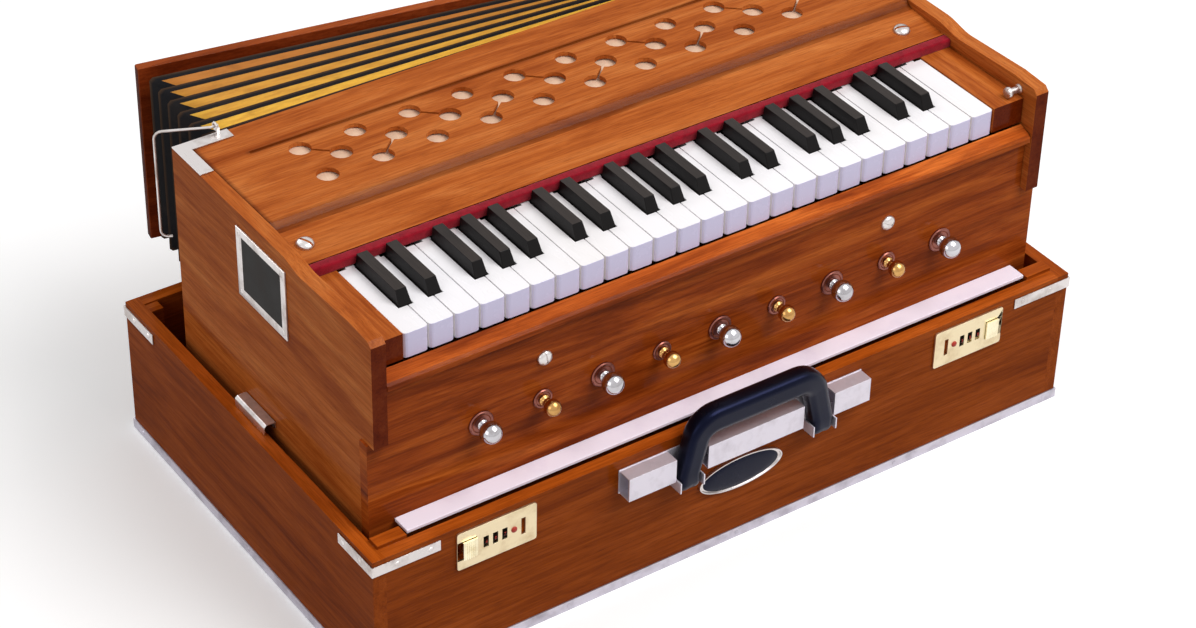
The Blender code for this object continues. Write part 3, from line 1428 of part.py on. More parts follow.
def build_bellows(wood, card):
    """Board hinged at its right end, and the fan of folds between it and the cabinet."""
    bm = bmesh.new()
    add_box(
        bm,
        (HINGE_X - BELLOWS_LENGTH, HINGE_Y, BELLOWS_UNDER),
        (HINGE_X, HINGE_Y + BELLOWS_BOARD, BELLOWS_TOP),
    )
    rim = [e for e in bm.edges if all(v.co.y > HINGE_Y + BELLOWS_BOARD / 2 for v in e.verts)]
    bmesh.ops.bevel(bm, geom=rim, offset=BELLOWS_EDGE, segments=1, affect="EDGES")
    turn = -math.radians(BELLOWS_OPEN_DEGREES)
    finish("bellows_board", bm, wood, origin=(HINGE_X, HINGE_Y, BELLOWS_UNDER), turn=turn)

    bm = bmesh.new()
    steps = BELLOWS_FOLDS * 2
    rings = []
    for k in range(steps + 1):
        ridge = k % 2 == 1
        end = FOLD_MARGIN if ridge else FOLD_MARGIN + FOLD_END_DEPTH
        rise = FOLD_MARGIN if ridge else FOLD_MARGIN + FOLD_DEPTH
        near = FOLD_MARGIN
        far = BELLOWS_LENGTH - end
        low = BELLOWS_UNDER + rise
        high = BELLOWS_TOP - rise
        share = k / steps
        corners = [(near, low), (far, low), (far, high), (near, high)]
        rings.append([bm.verts.new(fan_point(share, along, z)) for along, z in corners])
    for a, b in zip(rings, rings[1:]):
        for i in range(4):
            j = (i + 1) % 4
            bm.faces.new((a[i], a[j], b[j], b[i]))
    bm.faces.new(rings[0])
    bm.faces.new(rings[-1])
    finish("bellows_folds", bm, card)


def wire_route(side, edge):
    """Latch wire through its eye, then outwards and back to a bend, down, and in to its hook."""
    turn = math.radians(WIRE_TURN_DEGREES)
    start = Vector((edge + side * WIRE_ARM, WIRE_Y, WIRE_Z))
    knee = start - Vector((side * WIRE_KNEE, 0, 0))
    way = Vector((-side * math.cos(turn), math.sin(turn), 0))
    reach = (WIRE_ARM + WIRE_BESIDE - WIRE_KNEE) / math.cos(turn)
    middle = reach - WIRE_BEND
    corners = arc((middle, -WIRE_BEND), WIRE_BEND, 90, 0, 4)
    corners += arc((middle, WIRE_BEND - WIRE_DROP), WIRE_BEND, 0, -90, 4)
    corners.append((middle - WIRE_HOOK, -WIRE_DROP))
    return [start, knee] + [knee + way * a + Vector((0, 0, b)) for a, b in corners]


def build_wires(nickel):
    """A latch wire at each end of the cabinet's back, hanging in its eye."""
    for side, edge, name in ((1, CABINET_LEFT, "left"), (-1, CABINET_RIGHT, "right")):
        bm = bmesh.new()
        add_tube(bm, wire_route(side, edge), WIRE_RADIUS, 8)
        origin = (edge + side * WIRE_ARM, WIRE_Y, WIRE_Z)
        finish(f"latch_wire_{name}", bm, nickel, origin=origin, smooth=60)


def main():
    clear_scene()
    wood = paint("polished wood", (0.36, 0.13, 0.035), 0.3)
    front_wood = paint("streaked front wood", (0.30, 0.09, 0.03), 0.28)
    aluminium = paint("aluminium strip", (0.72, 0.70, 0.72), 0.4, 1.0)
    nickel = paint("nickel plate", (0.78, 0.74, 0.70), 0.25, 1.0)
    chrome = paint("chrome", (0.82, 0.81, 0.82), 0.12, 1.0)
    brass = paint("brass", (0.85, 0.62, 0.22), 0.2, 1.0)
    pale_brass = paint("pale brass", (0.80, 0.72, 0.52), 0.35, 1.0)
    black = paint("black plastic", (0.02, 0.02, 0.03), 0.3)
    white = paint("white strip", (0.85, 0.83, 0.95), 0.6)
    lining = paint("cream lining", (0.88, 0.74, 0.60), 0.8)
    felt = paint("red felt", (0.35, 0.02, 0.05), 0.95)
    ivory = paint("white key", (0.90, 0.90, 0.90), 0.25)
    ebony = paint("black key", (0.05, 0.045, 0.04), 0.35)
    card = paint("bellows card", (0.75, 0.48, 0.12), 0.7)
    plain = paint("plain softwood", (0.62, 0.42, 0.24), 0.7)

    build_case(wood)
    build_trim(aluminium)
    build_straps(nickel)
    for (x, out), hand in zip(lock_centres(), ("left", "right")):
        build_lock(hand, x, out, pale_brass, black)
    build_handle_mount(chrome)
    build_grip(black)
    build_badge(black)
    build_catches(nickel)
    build_cabinet(wood, front_wood)
    build_ledge(white)
    build_top(wood, lining)
    build_rail(wood, felt)
    build_action(plain, brass)
    build_keys(ivory, ebony)
    build_stops(chrome, brass)
    build_corner_plates(nickel)
    build_label(nickel)
    build_bellows(wood, card)
    build_wires(nickel)


main()
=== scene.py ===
# %% [markdown]
# # A folding harmonium
# This lesson dresses a ready-made model of a harmonium in procedural finishes and finely made pieces. The
# model's own pieces keep their places, so the first cell loads them and notes the box that they fill. Lengths
# are in metres: X runs along the keyboard, -Y points at the player and Z is up.

# %% Load the model
import math

import bmesh
import bpy
from mathutils import Matrix, Vector, noise


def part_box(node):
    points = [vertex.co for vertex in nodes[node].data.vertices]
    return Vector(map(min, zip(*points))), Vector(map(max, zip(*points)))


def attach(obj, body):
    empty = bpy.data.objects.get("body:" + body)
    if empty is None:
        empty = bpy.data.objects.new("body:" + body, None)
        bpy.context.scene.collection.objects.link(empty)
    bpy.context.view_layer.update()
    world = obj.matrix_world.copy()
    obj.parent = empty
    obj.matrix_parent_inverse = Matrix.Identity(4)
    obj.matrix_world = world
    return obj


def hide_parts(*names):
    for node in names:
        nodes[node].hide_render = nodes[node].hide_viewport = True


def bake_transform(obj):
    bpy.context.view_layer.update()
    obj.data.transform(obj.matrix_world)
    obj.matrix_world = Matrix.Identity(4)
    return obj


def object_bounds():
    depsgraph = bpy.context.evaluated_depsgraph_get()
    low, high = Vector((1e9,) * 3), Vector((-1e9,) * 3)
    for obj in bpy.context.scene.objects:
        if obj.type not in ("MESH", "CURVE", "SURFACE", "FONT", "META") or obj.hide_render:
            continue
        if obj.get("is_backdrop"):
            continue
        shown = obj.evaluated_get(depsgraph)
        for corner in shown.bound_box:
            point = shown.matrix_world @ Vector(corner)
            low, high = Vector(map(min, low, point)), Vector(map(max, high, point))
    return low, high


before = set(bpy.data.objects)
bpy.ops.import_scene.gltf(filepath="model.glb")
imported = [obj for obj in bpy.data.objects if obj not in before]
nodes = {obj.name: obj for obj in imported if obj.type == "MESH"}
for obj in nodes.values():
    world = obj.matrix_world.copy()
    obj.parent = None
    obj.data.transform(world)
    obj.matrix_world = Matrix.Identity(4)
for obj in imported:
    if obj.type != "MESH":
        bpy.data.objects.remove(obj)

sizes = {"cad": [list(corner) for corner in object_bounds()]}

# %% [markdown]
# ## Camera
# The picture is taken from the left in front, looking down. A camera could be set by eye, or fitted by
# matching corners of the case and the keyboard. It was fitted.
# A long lens far away keeps the edges nearly parallel, as in the picture.

# %% Camera
CAMERA_AT = (-1.15836, -1.63822, 1.56752)
CAMERA_TURN = 0.6140956
CAMERA_DOWN = 0.6322512
CAMERA_ROLL = 0.0232145
FOCAL_PIXELS = 3138.0
PICTURE_WIDTH = 1196


def make_camera():
    """Camera at CAMERA_AT, turned from +Y towards +X, tipped down and rolled a little."""
    turn, down = CAMERA_TURN, CAMERA_DOWN
    ahead = Vector((math.cos(down) * math.sin(turn), math.cos(down) * math.cos(turn), -math.sin(down)))
    data = bpy.data.cameras.new("camera")
    camera = bpy.data.objects.new("camera", data)
    bpy.context.scene.collection.objects.link(camera)
    level = ahead.to_track_quat("-Z", "Y").to_matrix().to_4x4()
    camera.matrix_world = Matrix.Translation(CAMERA_AT) @ level @ Matrix.Rotation(CAMERA_ROLL, 4, "Z")
    data.sensor_width = 36
    data.lens = FOCAL_PIXELS * data.sensor_width / PICTURE_WIDTH
    bpy.context.scene.camera = camera
    return camera


print("camera", [round(value, 3) for value in make_camera().location])

# %% [markdown]
# ## Lamps
# A product picture is lit by big soft boxes. Square area lamps do the same: a large one above the right
# shoulder lights the top most and the left side least, a weak one fills the left and one behind draws the
# edges. Sun or point lamps would also work, but they give hard shadows and pin-prick highlights on the knobs.

# %% Lamps
def make_lamp(name, place, size, power, aim=(0, 0, 0.18)):
    """Soft square lamp at place, turned to aim."""
    data = bpy.data.lights.new(name, "AREA")
    data.shape = "SQUARE"
    data.size = size
    data.energy = power
    lamp = bpy.data.objects.new(name, data)
    bpy.context.scene.collection.objects.link(lamp)
    lamp.location = place
    lamp.rotation_euler = (Vector(aim) - Vector(place)).to_track_quat("-Z", "Y").to_euler()


make_lamp("key_lamp", (0.8, -1.3, 2.4), 1.7, 54)
make_lamp("left_lamp", (-2.2, -0.6, 1.2), 1.2, 7)
make_lamp("back_lamp", (-0.6, 1.9, 1.9), 1.0, 14)

# %% [markdown]
# ## White background
# The page round the instrument is white. Brighter lamps would make it so too, but they would bleach the wood.
# The Light Path node tells rays apart instead: the world is white to the camera, to reflections and to
# refractions, and dimmer as a source of light.

# %% World
AMBIENT = 0.38


def seen_directly(tree):
    """1 where the camera, a reflection or a refraction looks, 0 for plain bounced light."""
    path = tree.nodes.new("ShaderNodeLightPath")
    either = tree.nodes.new("ShaderNodeMath")
    either.operation = "MAXIMUM"
    tree.links.new(path.outputs["Is Camera Ray"], either.inputs[0])
    tree.links.new(path.outputs["Is Glossy Ray"], either.inputs[1])
    last = tree.nodes.new("ShaderNodeMath")
    last.operation = "MAXIMUM"
    tree.links.new(either.outputs[0], last.inputs[0])
    tree.links.new(path.outputs["Is Transmission Ray"], last.inputs[1])
    return last.outputs[0]


def make_world():
    """White world whose light on the object is only AMBIENT."""
    world = bpy.data.worlds.new("studio")
    bpy.context.scene.world = world
    world.use_nodes = True
    tree = world.node_tree
    level = tree.nodes.new("ShaderNodeMapRange")
    tree.links.new(seen_directly(tree), level.inputs["Value"])
    level.inputs["To Min"].default_value = AMBIENT
    background = tree.nodes["Background"]
    background.inputs["Color"].default_value = (1, 1, 1, 1)
    tree.links.new(level.outputs["Result"], background.inputs["Strength"])


make_world()
bpy.context.scene.view_settings.view_transform = "Standard"
print("the world lights with", AMBIENT, "of its white")

# %% [markdown]
# ## Floor
# The instrument stands on a plain white table that shows its shadow. A backdrop curved up at the back is
# common in studios, but with a white world behind it a flat sheet is enough. It also looks white to the
# camera and throws less light back, so the underside of the lip and the knobs keep their dark side.

# %% Floor
FLOOR_BOUNCE = 0.42
FLOOR_LIFT = 0.14


def make_floor():
    """White floor that shows the shadow and throws little light back."""
    bm = bmesh.new()
    bmesh.ops.create_grid(bm, x_segments=1, y_segments=1, size=6)
    mesh = bpy.data.meshes.new("floor")
    bm.to_mesh(mesh)
    bm.free()
    floor = bpy.data.objects.new("floor", mesh)
    bpy.context.scene.collection.objects.link(floor)
    floor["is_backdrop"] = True
    material = bpy.data.materials.new("white_floor")
    material.use_nodes = True
    tree = material.node_tree
    shader = tree.nodes["Principled BSDF"]
    shader.inputs["Roughness"].default_value = 0.9
    shader.inputs["Specular IOR Level"].default_value = 0.0
    level = tree.nodes.new("ShaderNodeMapRange")
    tree.links.new(seen_directly(tree), level.inputs["Value"])
    level.inputs["To Min"].default_value = FLOOR_BOUNCE
    grey = tree.nodes.new("ShaderNodeCombineColor")
    for name in ("Red", "Green", "Blue"):
        tree.links.new(level.outputs["Result"], grey.inputs[name])
    tree.links.new(grey.outputs["Color"], shader.inputs["Base Color"])
    lift = tree.nodes.new("ShaderNodeMapRange")
    tree.links.new(seen_directly(tree), lift.inputs["Value"])
    lift.inputs["To Max"].default_value = FLOOR_LIFT
    shader.inputs["Emission Color"].default_value = (1, 1, 1, 1)
    tree.links.new(lift.outputs["Result"], shader.inputs["Emission Strength"])
    mesh.materials.append(material)


make_floor()
print("the floor throws back", FLOOR_BOUNCE, "of the light")

# %% [markdown]
# ## Colours
# Paint charts and pictures give colours as they look on screen, from 0 to 255, but shader nodes want linear
# light. Typing linear values by hand is hard to judge, so a helper converts the familiar ones.

# %% Colours
def shade(red, green, blue):
    """Screen colour, 0 to 255 each, as linear RGBA."""
    linear = []
    for value in (red, green, blue):
        value /= 255
        linear.append(value / 12.92 if value <= 0.04045 else ((value + 0.055) / 1.055) ** 2.4)
    return (*linear, 1.0)


print("mid grey is", round(shade(128, 128, 128)[0], 3), "in linear light")

# %% [markdown]
# ## A workbench for finishes
# Each finish is a small net of texture nodes round one Principled shader. In the editor the nodes are dragged
# and linked by hand; in a script a small class keeps the same steps short. Patterns read Object coordinates,
# because every piece's place is in its mesh, so the grain stays put while the piece moves.

# %% Workbench for finishes
class Finish:
    """Node tree of one material. Where a value is a socket it is linked, otherwise it is typed in."""

    def __init__(self, name, **sockets):
        self.material = bpy.data.materials.new(name)
        self.material.use_nodes = True
        self.tree = self.material.node_tree
        self.shader = self.tree.nodes["Principled BSDF"]
        for socket, value in sockets.items():
            self.shader.inputs[socket.replace("_", " ")].default_value = value

    def put(self, socket, value):
        if isinstance(value, bpy.types.NodeSocket):
            self.tree.links.new(value, socket)
        else:
            socket.default_value = value

    def add(self, kind, inputs, **settings):
        node = self.tree.nodes.new("ShaderNode" + kind)
        for key, value in settings.items():
            setattr(node, key, value)
        for key, value in inputs.items():
            self.put(node.inputs[key], value)
        return node

    def spot(self, stretch=(1, 1, 1), source="Object"):
        """Place on the piece, stretched along its axes."""
        place = self.add("TexCoord", {}).outputs[source]
        return self.add("Mapping", {"Vector": place, "Scale": stretch}).outputs["Vector"]

    def noise(self, scale, vector, detail=4.0, rough=0.55, twist=0.0):
        inputs = {"Vector": vector, "Scale": scale, "Detail": detail, "Roughness": rough, "Distortion": twist}
        return self.add("TexNoise", inputs).outputs[0]

    def ramp(self, factor, *stops):
        """Colour or grey along factor; each stop is (place, colour)."""
        node = self.add("ValToRGB", {"Fac": factor})
        elements = node.color_ramp.elements
        while len(elements) < len(stops):
            elements.new(0.5)
        for element, (place, colour) in zip(elements, stops):
            element.position = place
            element.color = colour if isinstance(colour, tuple) else (colour, colour, colour, 1)
        return node.outputs["Color"]

    def mix(self, factor, first, second, way="MIX"):
        node = self.add("Mix", {}, data_type="RGBA", blend_type=way)
        self.put(node.inputs[0], factor)
        self.put(node.inputs[6], first)
        self.put(node.inputs[7], second)
        return node.outputs[2]

    def span(self, value, low, high):
        """value from 0 to 1, spread from low to high."""
        return self.add("MapRange", {"Value": value, "To Min": low, "To Max": high}).outputs["Result"]

    def math(self, way, first, second=0.0):
        node = self.add("Math", {}, operation=way)
        self.put(node.inputs[0], first)
        self.put(node.inputs[1], second)
        return node.outputs[0]

    def colour(self, value):
        self.put(self.shader.inputs["Base Color"], value)

    def roughness(self, value):
        self.put(self.shader.inputs["Roughness"], value)

    def bump(self, *layers):
        """Surface relief from layers of (height, depth in metres, strength)."""
        normal = None
        for height, depth, strength in layers:
            inputs = {"Height": height, "Distance": depth, "Strength": strength}
            if normal:
                inputs["Normal"] = normal
            normal = self.add("Bump", inputs).outputs["Normal"]
        self.put(self.shader.inputs["Normal"], normal)


print("ready to mix finishes")

# %% [markdown]
# ## Wood
# The case and the cabinet are varnished hardwood. A picture of a plank could be wrapped round them, but it
# would stretch at the ends and repeat. Noise in three dimensions runs through a board as real grain does:
# long noise gives the figure, a finer one the fibres and a third the dark pores. Where a face looks along X,
# or on a board that runs from front to back, the pattern is turned. A thin clear coat is the varnish, and
# cloudy roughness shows where hands have dulled it.

# %% Wood finish
PORES = shade(78, 30, 8)
STREAKS = shade(92, 32, 10)
# Dark brown of the painted shade in the joints, the groove and the cove of the top.
PAINTED_SHADE_BROWN = shade(64, 22, 6)
SHADE_EDGE_SOFTNESS = 0.0005


def make_wood(name, light, middle, dark, figure=0.5, streaks=0.0, gloss=0.3, seed=0.0,
              sides=None, before=None, tints=(), shade_bands=()):
    """Varnished hardwood. Grain runs along X, but along Y beyond the two x in sides, if in front of y = before.

    figure is the contrast of the grain and streaks adds dark bands. Each tint is (axis, sign, colour) and
    multiplies the faces that look that way. Each shade band is (x from, x to, y from, y to, share), a band of
    painted shade that darkens a joint, groove or cove, as where shadow falls in it.
    """
    wood = Finish(name, Coat_Weight=0.10, Coat_Roughness=0.14, Specular_IOR_Level=0.0)
    facing = wood.add("SeparateXYZ", {"Vector": wood.add("TexCoord", {}).outputs["Normal"]}).outputs
    place = wood.add("SeparateXYZ", {"Vector": wood.spot()})
    x, y, z = (place.outputs[axis] for axis in "XYZ")
    sideways = wood.math("GREATER_THAN", wood.math("ABSOLUTE", facing["X"]), 0.7)
    for way, limit in zip(("LESS_THAN", "GREATER_THAN"), sides or ()):
        beyond = wood.math(way, x, limit)
        if before is not None:
            beyond = wood.math("MULTIPLY", beyond, wood.math("LESS_THAN", y, before))
        sideways = wood.math("MAXIMUM", sideways, beyond)
    lengthwise = wood.add("CombineXYZ", {"X": x, "Y": y, "Z": z}).outputs[0]
    crosswise = wood.add("CombineXYZ", {"X": y, "Y": x, "Z": z}).outputs[0]
    along = wood.mix(sideways, lengthwise, crosswise)
    start = (seed, seed * 0.7, seed * 0.3)
    board = wood.add("Mapping", {"Vector": along, "Location": start, "Scale": (1, 9, 9)}).outputs[0]
    grain = wood.noise(5.5, board, detail=5, rough=0.6, twist=0.9)
    fine = wood.add("Mapping", {"Vector": along, "Scale": (1, 26, 26)}).outputs[0]
    fibre = wood.noise(22, fine, detail=3, rough=0.65, twist=0.2)
    pores = wood.noise(75, fine, detail=2, rough=0.5)
    spread = 0.26 - 0.12 * figure
    body = wood.ramp(grain, (0.5 - spread, dark), (0.5, middle), (0.5 + spread, light))
    body = wood.mix(wood.ramp(fibre, (0.38, 0.30), (0.60, 0.0)), body, dark, "MULTIPLY")
    if streaks:
        bands = wood.add("Mapping", {"Vector": along, "Location": (seed, 0, 0), "Scale": (1, 16, 16)})
        band = wood.noise(3.2, bands.outputs[0], detail=6, rough=0.7, twist=1.6)
        band = wood.ramp(band, (0.53, 0.0), (0.66, streaks))
        body = wood.mix(band, body, STREAKS)
    marks = wood.ramp(pores, (0.30, 0.40), (0.42, 0.0))
    body = wood.mix(marks, body, PORES)
    for axis, sign, tint in tints:
        seen = wood.ramp(wood.math("MULTIPLY", facing[axis], sign), (0.75, 0.0), (0.95, 1.0))
        body = wood.mix(seen, body, wood.mix(1.0, body, (*tint, 1), "MULTIPLY"))
    # Painted shade: each band darkens a joint, groove or cove, as where shadow falls in it.
    for left, right, near, far, share in shade_bands:
        inside = share
        for reach, low, high in ((x, left, right), (y, near, far)):
            away = wood.math("ABSOLUTE", wood.math("SUBTRACT", reach, (low + high) / 2))
            half = (high - low) / 2
            band = wood.ramp(away, (half - SHADE_EDGE_SOFTNESS, 1.0), (half + SHADE_EDGE_SOFTNESS, 0.0))
            inside = wood.math("MULTIPLY", inside, band)
        body = wood.mix(inside, body, PAINTED_SHADE_BROWN)
    wood.colour(body)
    clouds = wood.noise(9, wood.spot(), detail=5, rough=0.6)
    wood.roughness(wood.span(clouds, gloss - 0.10, gloss + 0.16))
    wood.bump((fibre, 0.00025, 0.25), (marks, 0.00012, 0.2), (clouds, 0.0006, 0.12))
    return wood.material


print("planks can be cut")

# %% [markdown]
# ## The woods of this instrument
# The maker used one timber, but it doesn't look the same everywhere: the front is figured, and narrow front
# edges are darker. The upward faces of the case and of the lip get painted light, lighter as where the lamps
# fall on them. Each board could get its own noise. One helper with other tones and tints keeps them a family
# instead, and the same seed lets the grain run on from the shell to the top. The joints, the groove and the
# cove of the top get painted shade, darker as where shadow falls in them.

# %% Woods
# Multiplies faces that look to the front, so the front edges of the cabinet and of the key blocks are darker.
FRONT_FACE_DARKENING = (0.30, 0.16, 0.12)
# Bands of painted shade: the joints of the side boards with the top, the cove at the front, the groove at the
# back.
SHADOWED_JOINTS = [(-0.2945, -0.2913, -0.0105, 0.121, 0.8), (0.2873, 0.2905, -0.0105, 0.121, 0.8)]
SHADOWED_COVE = (-0.30, 0.30, -0.0105, -0.0025, 0.62)
SHADOWED_GROOVE = (-0.26, 0.256, 0.0832, 0.0868, 0.75)
CABINET_TONES = (shade(206, 122, 60), shade(186, 99, 41), shade(150, 68, 20))
# Painted light: the tint makes the case's upward faces lighter, as where the lamps fall on them.
case_wood = make_wood("case_varnish", shade(176, 86, 30), shade(153, 70, 16), shade(120, 48, 8), 0.2,
                      gloss=0.34, sides=(-0.312, 0.312), tints=[("Z", 1.0, (1.45, 1.5, 1.5))])
cabinet_wood = make_wood("cabinet_varnish", *CABINET_TONES, 0.4, seed=1.7, sides=(-0.2929, 0.2889),
                         tints=[("Y", -1.0, FRONT_FACE_DARKENING)])
top_wood = make_wood("top_varnish", *CABINET_TONES, 0.4, seed=1.7, shade_bands=SHADOWED_JOINTS + [SHADOWED_COVE, SHADOWED_GROOVE])
block_wood = make_wood("key_block_varnish", *CABINET_TONES, 0.4, seed=1.7, sides=(-0.2712, 0.2585),
                       before=-0.0502, tints=[("Y", -1.0, FRONT_FACE_DARKENING)])
# Painted highlight: the tint makes the upward faces of the front, the top of the lip, lighter and paler.
front_wood = make_wood("figured_front", shade(192, 98, 36), shade(160, 72, 22), shade(118, 46, 12), 0.6,
                       streaks=0.55, gloss=0.28, seed=3.1, tints=[("Z", 1.0, (1.55, 1.65, 1.9))])
# The bellows board is darker on faces that look to the front, and darker still on its left end.
board_wood = make_wood("bellows_board_varnish", shade(180, 92, 44), shade(158, 74, 32), shade(116, 48, 18),
                       seed=5.2, tints=[("Y", -1.0, (0.62, 0.46, 0.42)), ("X", -1.0, (0.3, 0.17, 0.13))])
plain_wood = make_wood("plain_softwood", shade(214, 178, 130), shade(200, 160, 112), shade(170, 128, 84),
                       gloss=0.6)
woods = (case_wood, cabinet_wood, top_wood, block_wood, front_wood, board_wood, plain_wood)
print("woods:", [wood.name for wood in woods])

# %% [markdown]
# ## Metal
# The fittings are nickel, chrome and brass, never perfectly clean. A plain metallic colour would do from
# afar, but it looks like a mirror ball close up. So cloudy smudges change how sharp the reflections are, and
# hair-fine scratches run across them. One helper makes all the metals from their colours, because they wear
# alike.

# %% Metal finishes
def make_metal(name, colour, tarnish, gloss, scratches=0.3, stretch=(40, 3, 40), metallic=1.0):
    """Plated metal with smudges towards tarnish and fine scratches along the direction of least stretch."""
    metal = Finish(name, Metallic=metallic)
    clouds = metal.noise(55, metal.spot(), detail=5, rough=0.6)
    metal.colour(metal.mix(metal.ramp(clouds, (0.48, 0.0), (0.75, 0.8)), colour, tarnish))
    hairs = metal.noise(30, metal.spot(stretch), detail=3, rough=0.7)
    wear = metal.math("ADD", metal.math("MULTIPLY", clouds, 0.7), metal.math("MULTIPLY", hairs, 0.3))
    metal.roughness(metal.span(wear, gloss * 0.5, gloss * 1.5))
    metal.bump((hairs, 0.0001, scratches), (clouds, 0.0002, 0.15))
    return metal.material


nickel = make_metal("worn_nickel", shade(214, 208, 206), shade(152, 138, 128), 0.32)
matt_nickel = make_metal("matt_nickel", shade(226, 220, 230), shade(198, 190, 198), 0.42, 0.3, (3, 40, 40), 0.6)
chrome = make_metal("bright_chrome", shade(196, 194, 198), shade(150, 142, 142), 0.14, 0.1)
brass = make_metal("polished_brass", shade(206, 160, 98), shade(150, 100, 48), 0.20, 0.15)
# Metal for the rosettes: its reddish colour is a painted reflection of the wood round them.
rosette_reflection_metal = make_metal("rosette_painted_wood_reflection", shade(140, 88, 78), shade(78, 38, 32), 0.30, 0.15)
lock_metal = make_metal("pale_lock_plate", shade(228, 212, 176), shade(186, 160, 120), 0.36, 0.4, (3, 40, 40))
aluminium = make_metal("dull_aluminium", shade(198, 194, 204), shade(150, 144, 154), 0.45, 0.5, (2, 30, 60))
button_metal = make_metal("bright_button", shade(246, 238, 206), shade(206, 186, 140), 0.24, 0.2)
print("metals:", nickel.name, chrome.name, brass.name, lock_metal.name, aluminium.name)

# %% [markdown]
# ## White key tops
# White key tops are cast resin: very even and a little yellow in places. Their upright fronts get a painted
# lavender reflection. The fronts could be cut off as pieces of their own, but one finish can tell them by the
# direction that a face looks. Small smears in the gloss keep the long row from looking printed.

# %% White key tops
def make_white_keys():
    keys = Finish("white_key_resin", Coat_Weight=0.10, Coat_Roughness=0.08, Specular_IOR_Level=0.3)
    facing = keys.add("SeparateXYZ", {"Vector": keys.add("TexCoord", {}).outputs["Normal"]}).outputs["Y"]
    # Painted reflection: faces that look to the front are mixed towards lavender.
    front = keys.ramp(keys.math("MULTIPLY", facing, -1.0), (0.3, 0.0), (0.8, 1.0))
    age = keys.noise(14, keys.spot((1, 0.4, 1)), detail=4)
    top = keys.mix(keys.ramp(age, (0.4, 0.0), (0.8, 0.6)), shade(244, 241, 244), shade(238, 231, 226))
    keys.colour(keys.mix(front, top, shade(214, 209, 238)))
    smear = keys.noise(90, keys.spot((1, 0.3, 1)), detail=4, rough=0.6)
    keys.roughness(keys.span(smear, 0.16, 0.36))
    keys.bump((smear, 0.0001, 0.12))
    return keys.material


white_key = make_white_keys()
print("key tops:", white_key.name)

# %% [markdown]
# ## Sharps
# The sharps are stained black wood, satin and brushed lengthwise by years of fingers. A flat black would
# swallow their shape, so the tops are painted lighter than the near-black sides, as where the light falls, with
# fine streaks along the key.

# %% Sharps
def make_sharps():
    sharps = Finish("sharp_satin_black", Specular_IOR_Level=0.14)
    brushed = sharps.noise(60, sharps.spot((18, 0.8, 18)), detail=4, rough=0.6)
    handled = sharps.noise(16, sharps.spot(), detail=4)
    facing = sharps.add("SeparateXYZ", {"Vector": sharps.add("TexCoord", {}).outputs["Normal"]}).outputs["Z"]
    top = sharps.mix(brushed, shade(30, 24, 22), shade(58, 50, 46))
    # Painted light: upward faces get the lighter top colour, while the sides stay near black.
    tone = sharps.mix(sharps.ramp(facing, (0.6, 0.0), (0.95, 1.0)), shade(9, 6, 6), top)
    sharps.colour(sharps.mix(sharps.ramp(handled, (0.45, 0.0), (0.75, 0.6)), tone, shade(20, 17, 17)))
    sharps.roughness(sharps.span(handled, 0.28, 0.5))
    sharps.bump((brushed, 0.0002, 0.25))
    return sharps.material


black_key = make_sharps()
print("sharps:", black_key.name)

# %% [markdown]
# ## Plastic and enamel
# The handle is moulded black plastic with a pebbled skin, and the strip, the label and the dots are paint or
# enamel. All are even colours that dull where they are touched. One helper takes the colour, the worn colour
# and the roughness; the tint of the highlight turns the black of the handle a little blue.

# %% Plastic and enamel
def make_moulded(name, base, worn, rough, tint=(1, 1, 1, 1), shine=0.4):
    plastic = Finish(name, Specular_IOR_Level=shine, Specular_Tint=tint)
    skin = plastic.noise(900, plastic.spot(), detail=2)
    wear = plastic.noise(28, plastic.spot(), detail=5, rough=0.65)
    plastic.colour(plastic.mix(plastic.ramp(wear, (0.5, 0.0), (0.78, 0.7)), base, worn))
    plastic.roughness(plastic.span(wear, rough - 0.12, rough + 0.14))
    plastic.bump((skin, 0.00008, 0.35), (wear, 0.0003, 0.15))
    return plastic.material


black_plastic = make_moulded("moulded_black", shade(5, 6, 14), shade(18, 20, 36), 0.30, shade(112, 122, 190))
white_strip = make_moulded("painted_white_strip", shade(252, 242, 255), shade(236, 222, 242), 0.55)
dot_red = make_moulded("red_enamel", shade(176, 44, 26), shade(120, 26, 18), 0.35)
field_black = make_moulded("dark_enamel_field", shade(14, 9, 6), shade(40, 29, 21), 0.4,
                           shade(70, 58, 52), 0.1)
print("plastics:", black_plastic.name, white_strip.name, dot_red.name, field_black.name)

# %% [markdown]
# ## Felt
# Felt is a mat of wool fibres. Hair particles could grow it, but the strip is only a few millimetres high, so
# very fine noise for the fibres, a coarser one for the tufts and some sheen at the edge are enough.

# %% Felt
def make_felt():
    felt = Finish("red_wool_felt", Sheen_Weight=0.15, Sheen_Roughness=0.5, Specular_IOR_Level=0.05)
    fibres = felt.noise(1400, felt.spot(), detail=3, rough=0.7)
    tufts = felt.noise(160, felt.spot(), detail=4)
    tone = felt.mix(fibres, shade(112, 6, 22), shade(176, 26, 46))
    felt.colour(felt.mix(felt.ramp(tufts, (0.4, 0.0), (0.7, 0.5)), tone, shade(96, 6, 20)))
    felt.roughness(felt.span(tufts, 0.85, 1.0))
    felt.bump((fibres, 0.0003, 0.6), (tufts, 0.0006, 0.4))
    return felt.material


red_felt = make_felt()
print("felt:", red_felt.name)

# %% [markdown]
# ## Woven cloth
# Behind the grille sits cream cloth. Single threads could be modelled, but at a millimetre apart two crossed
# waves, multiplied, give the same over-and-under look. Their product is both colour and relief.

# %% Woven lining
BAND_SPACING = 0.31831


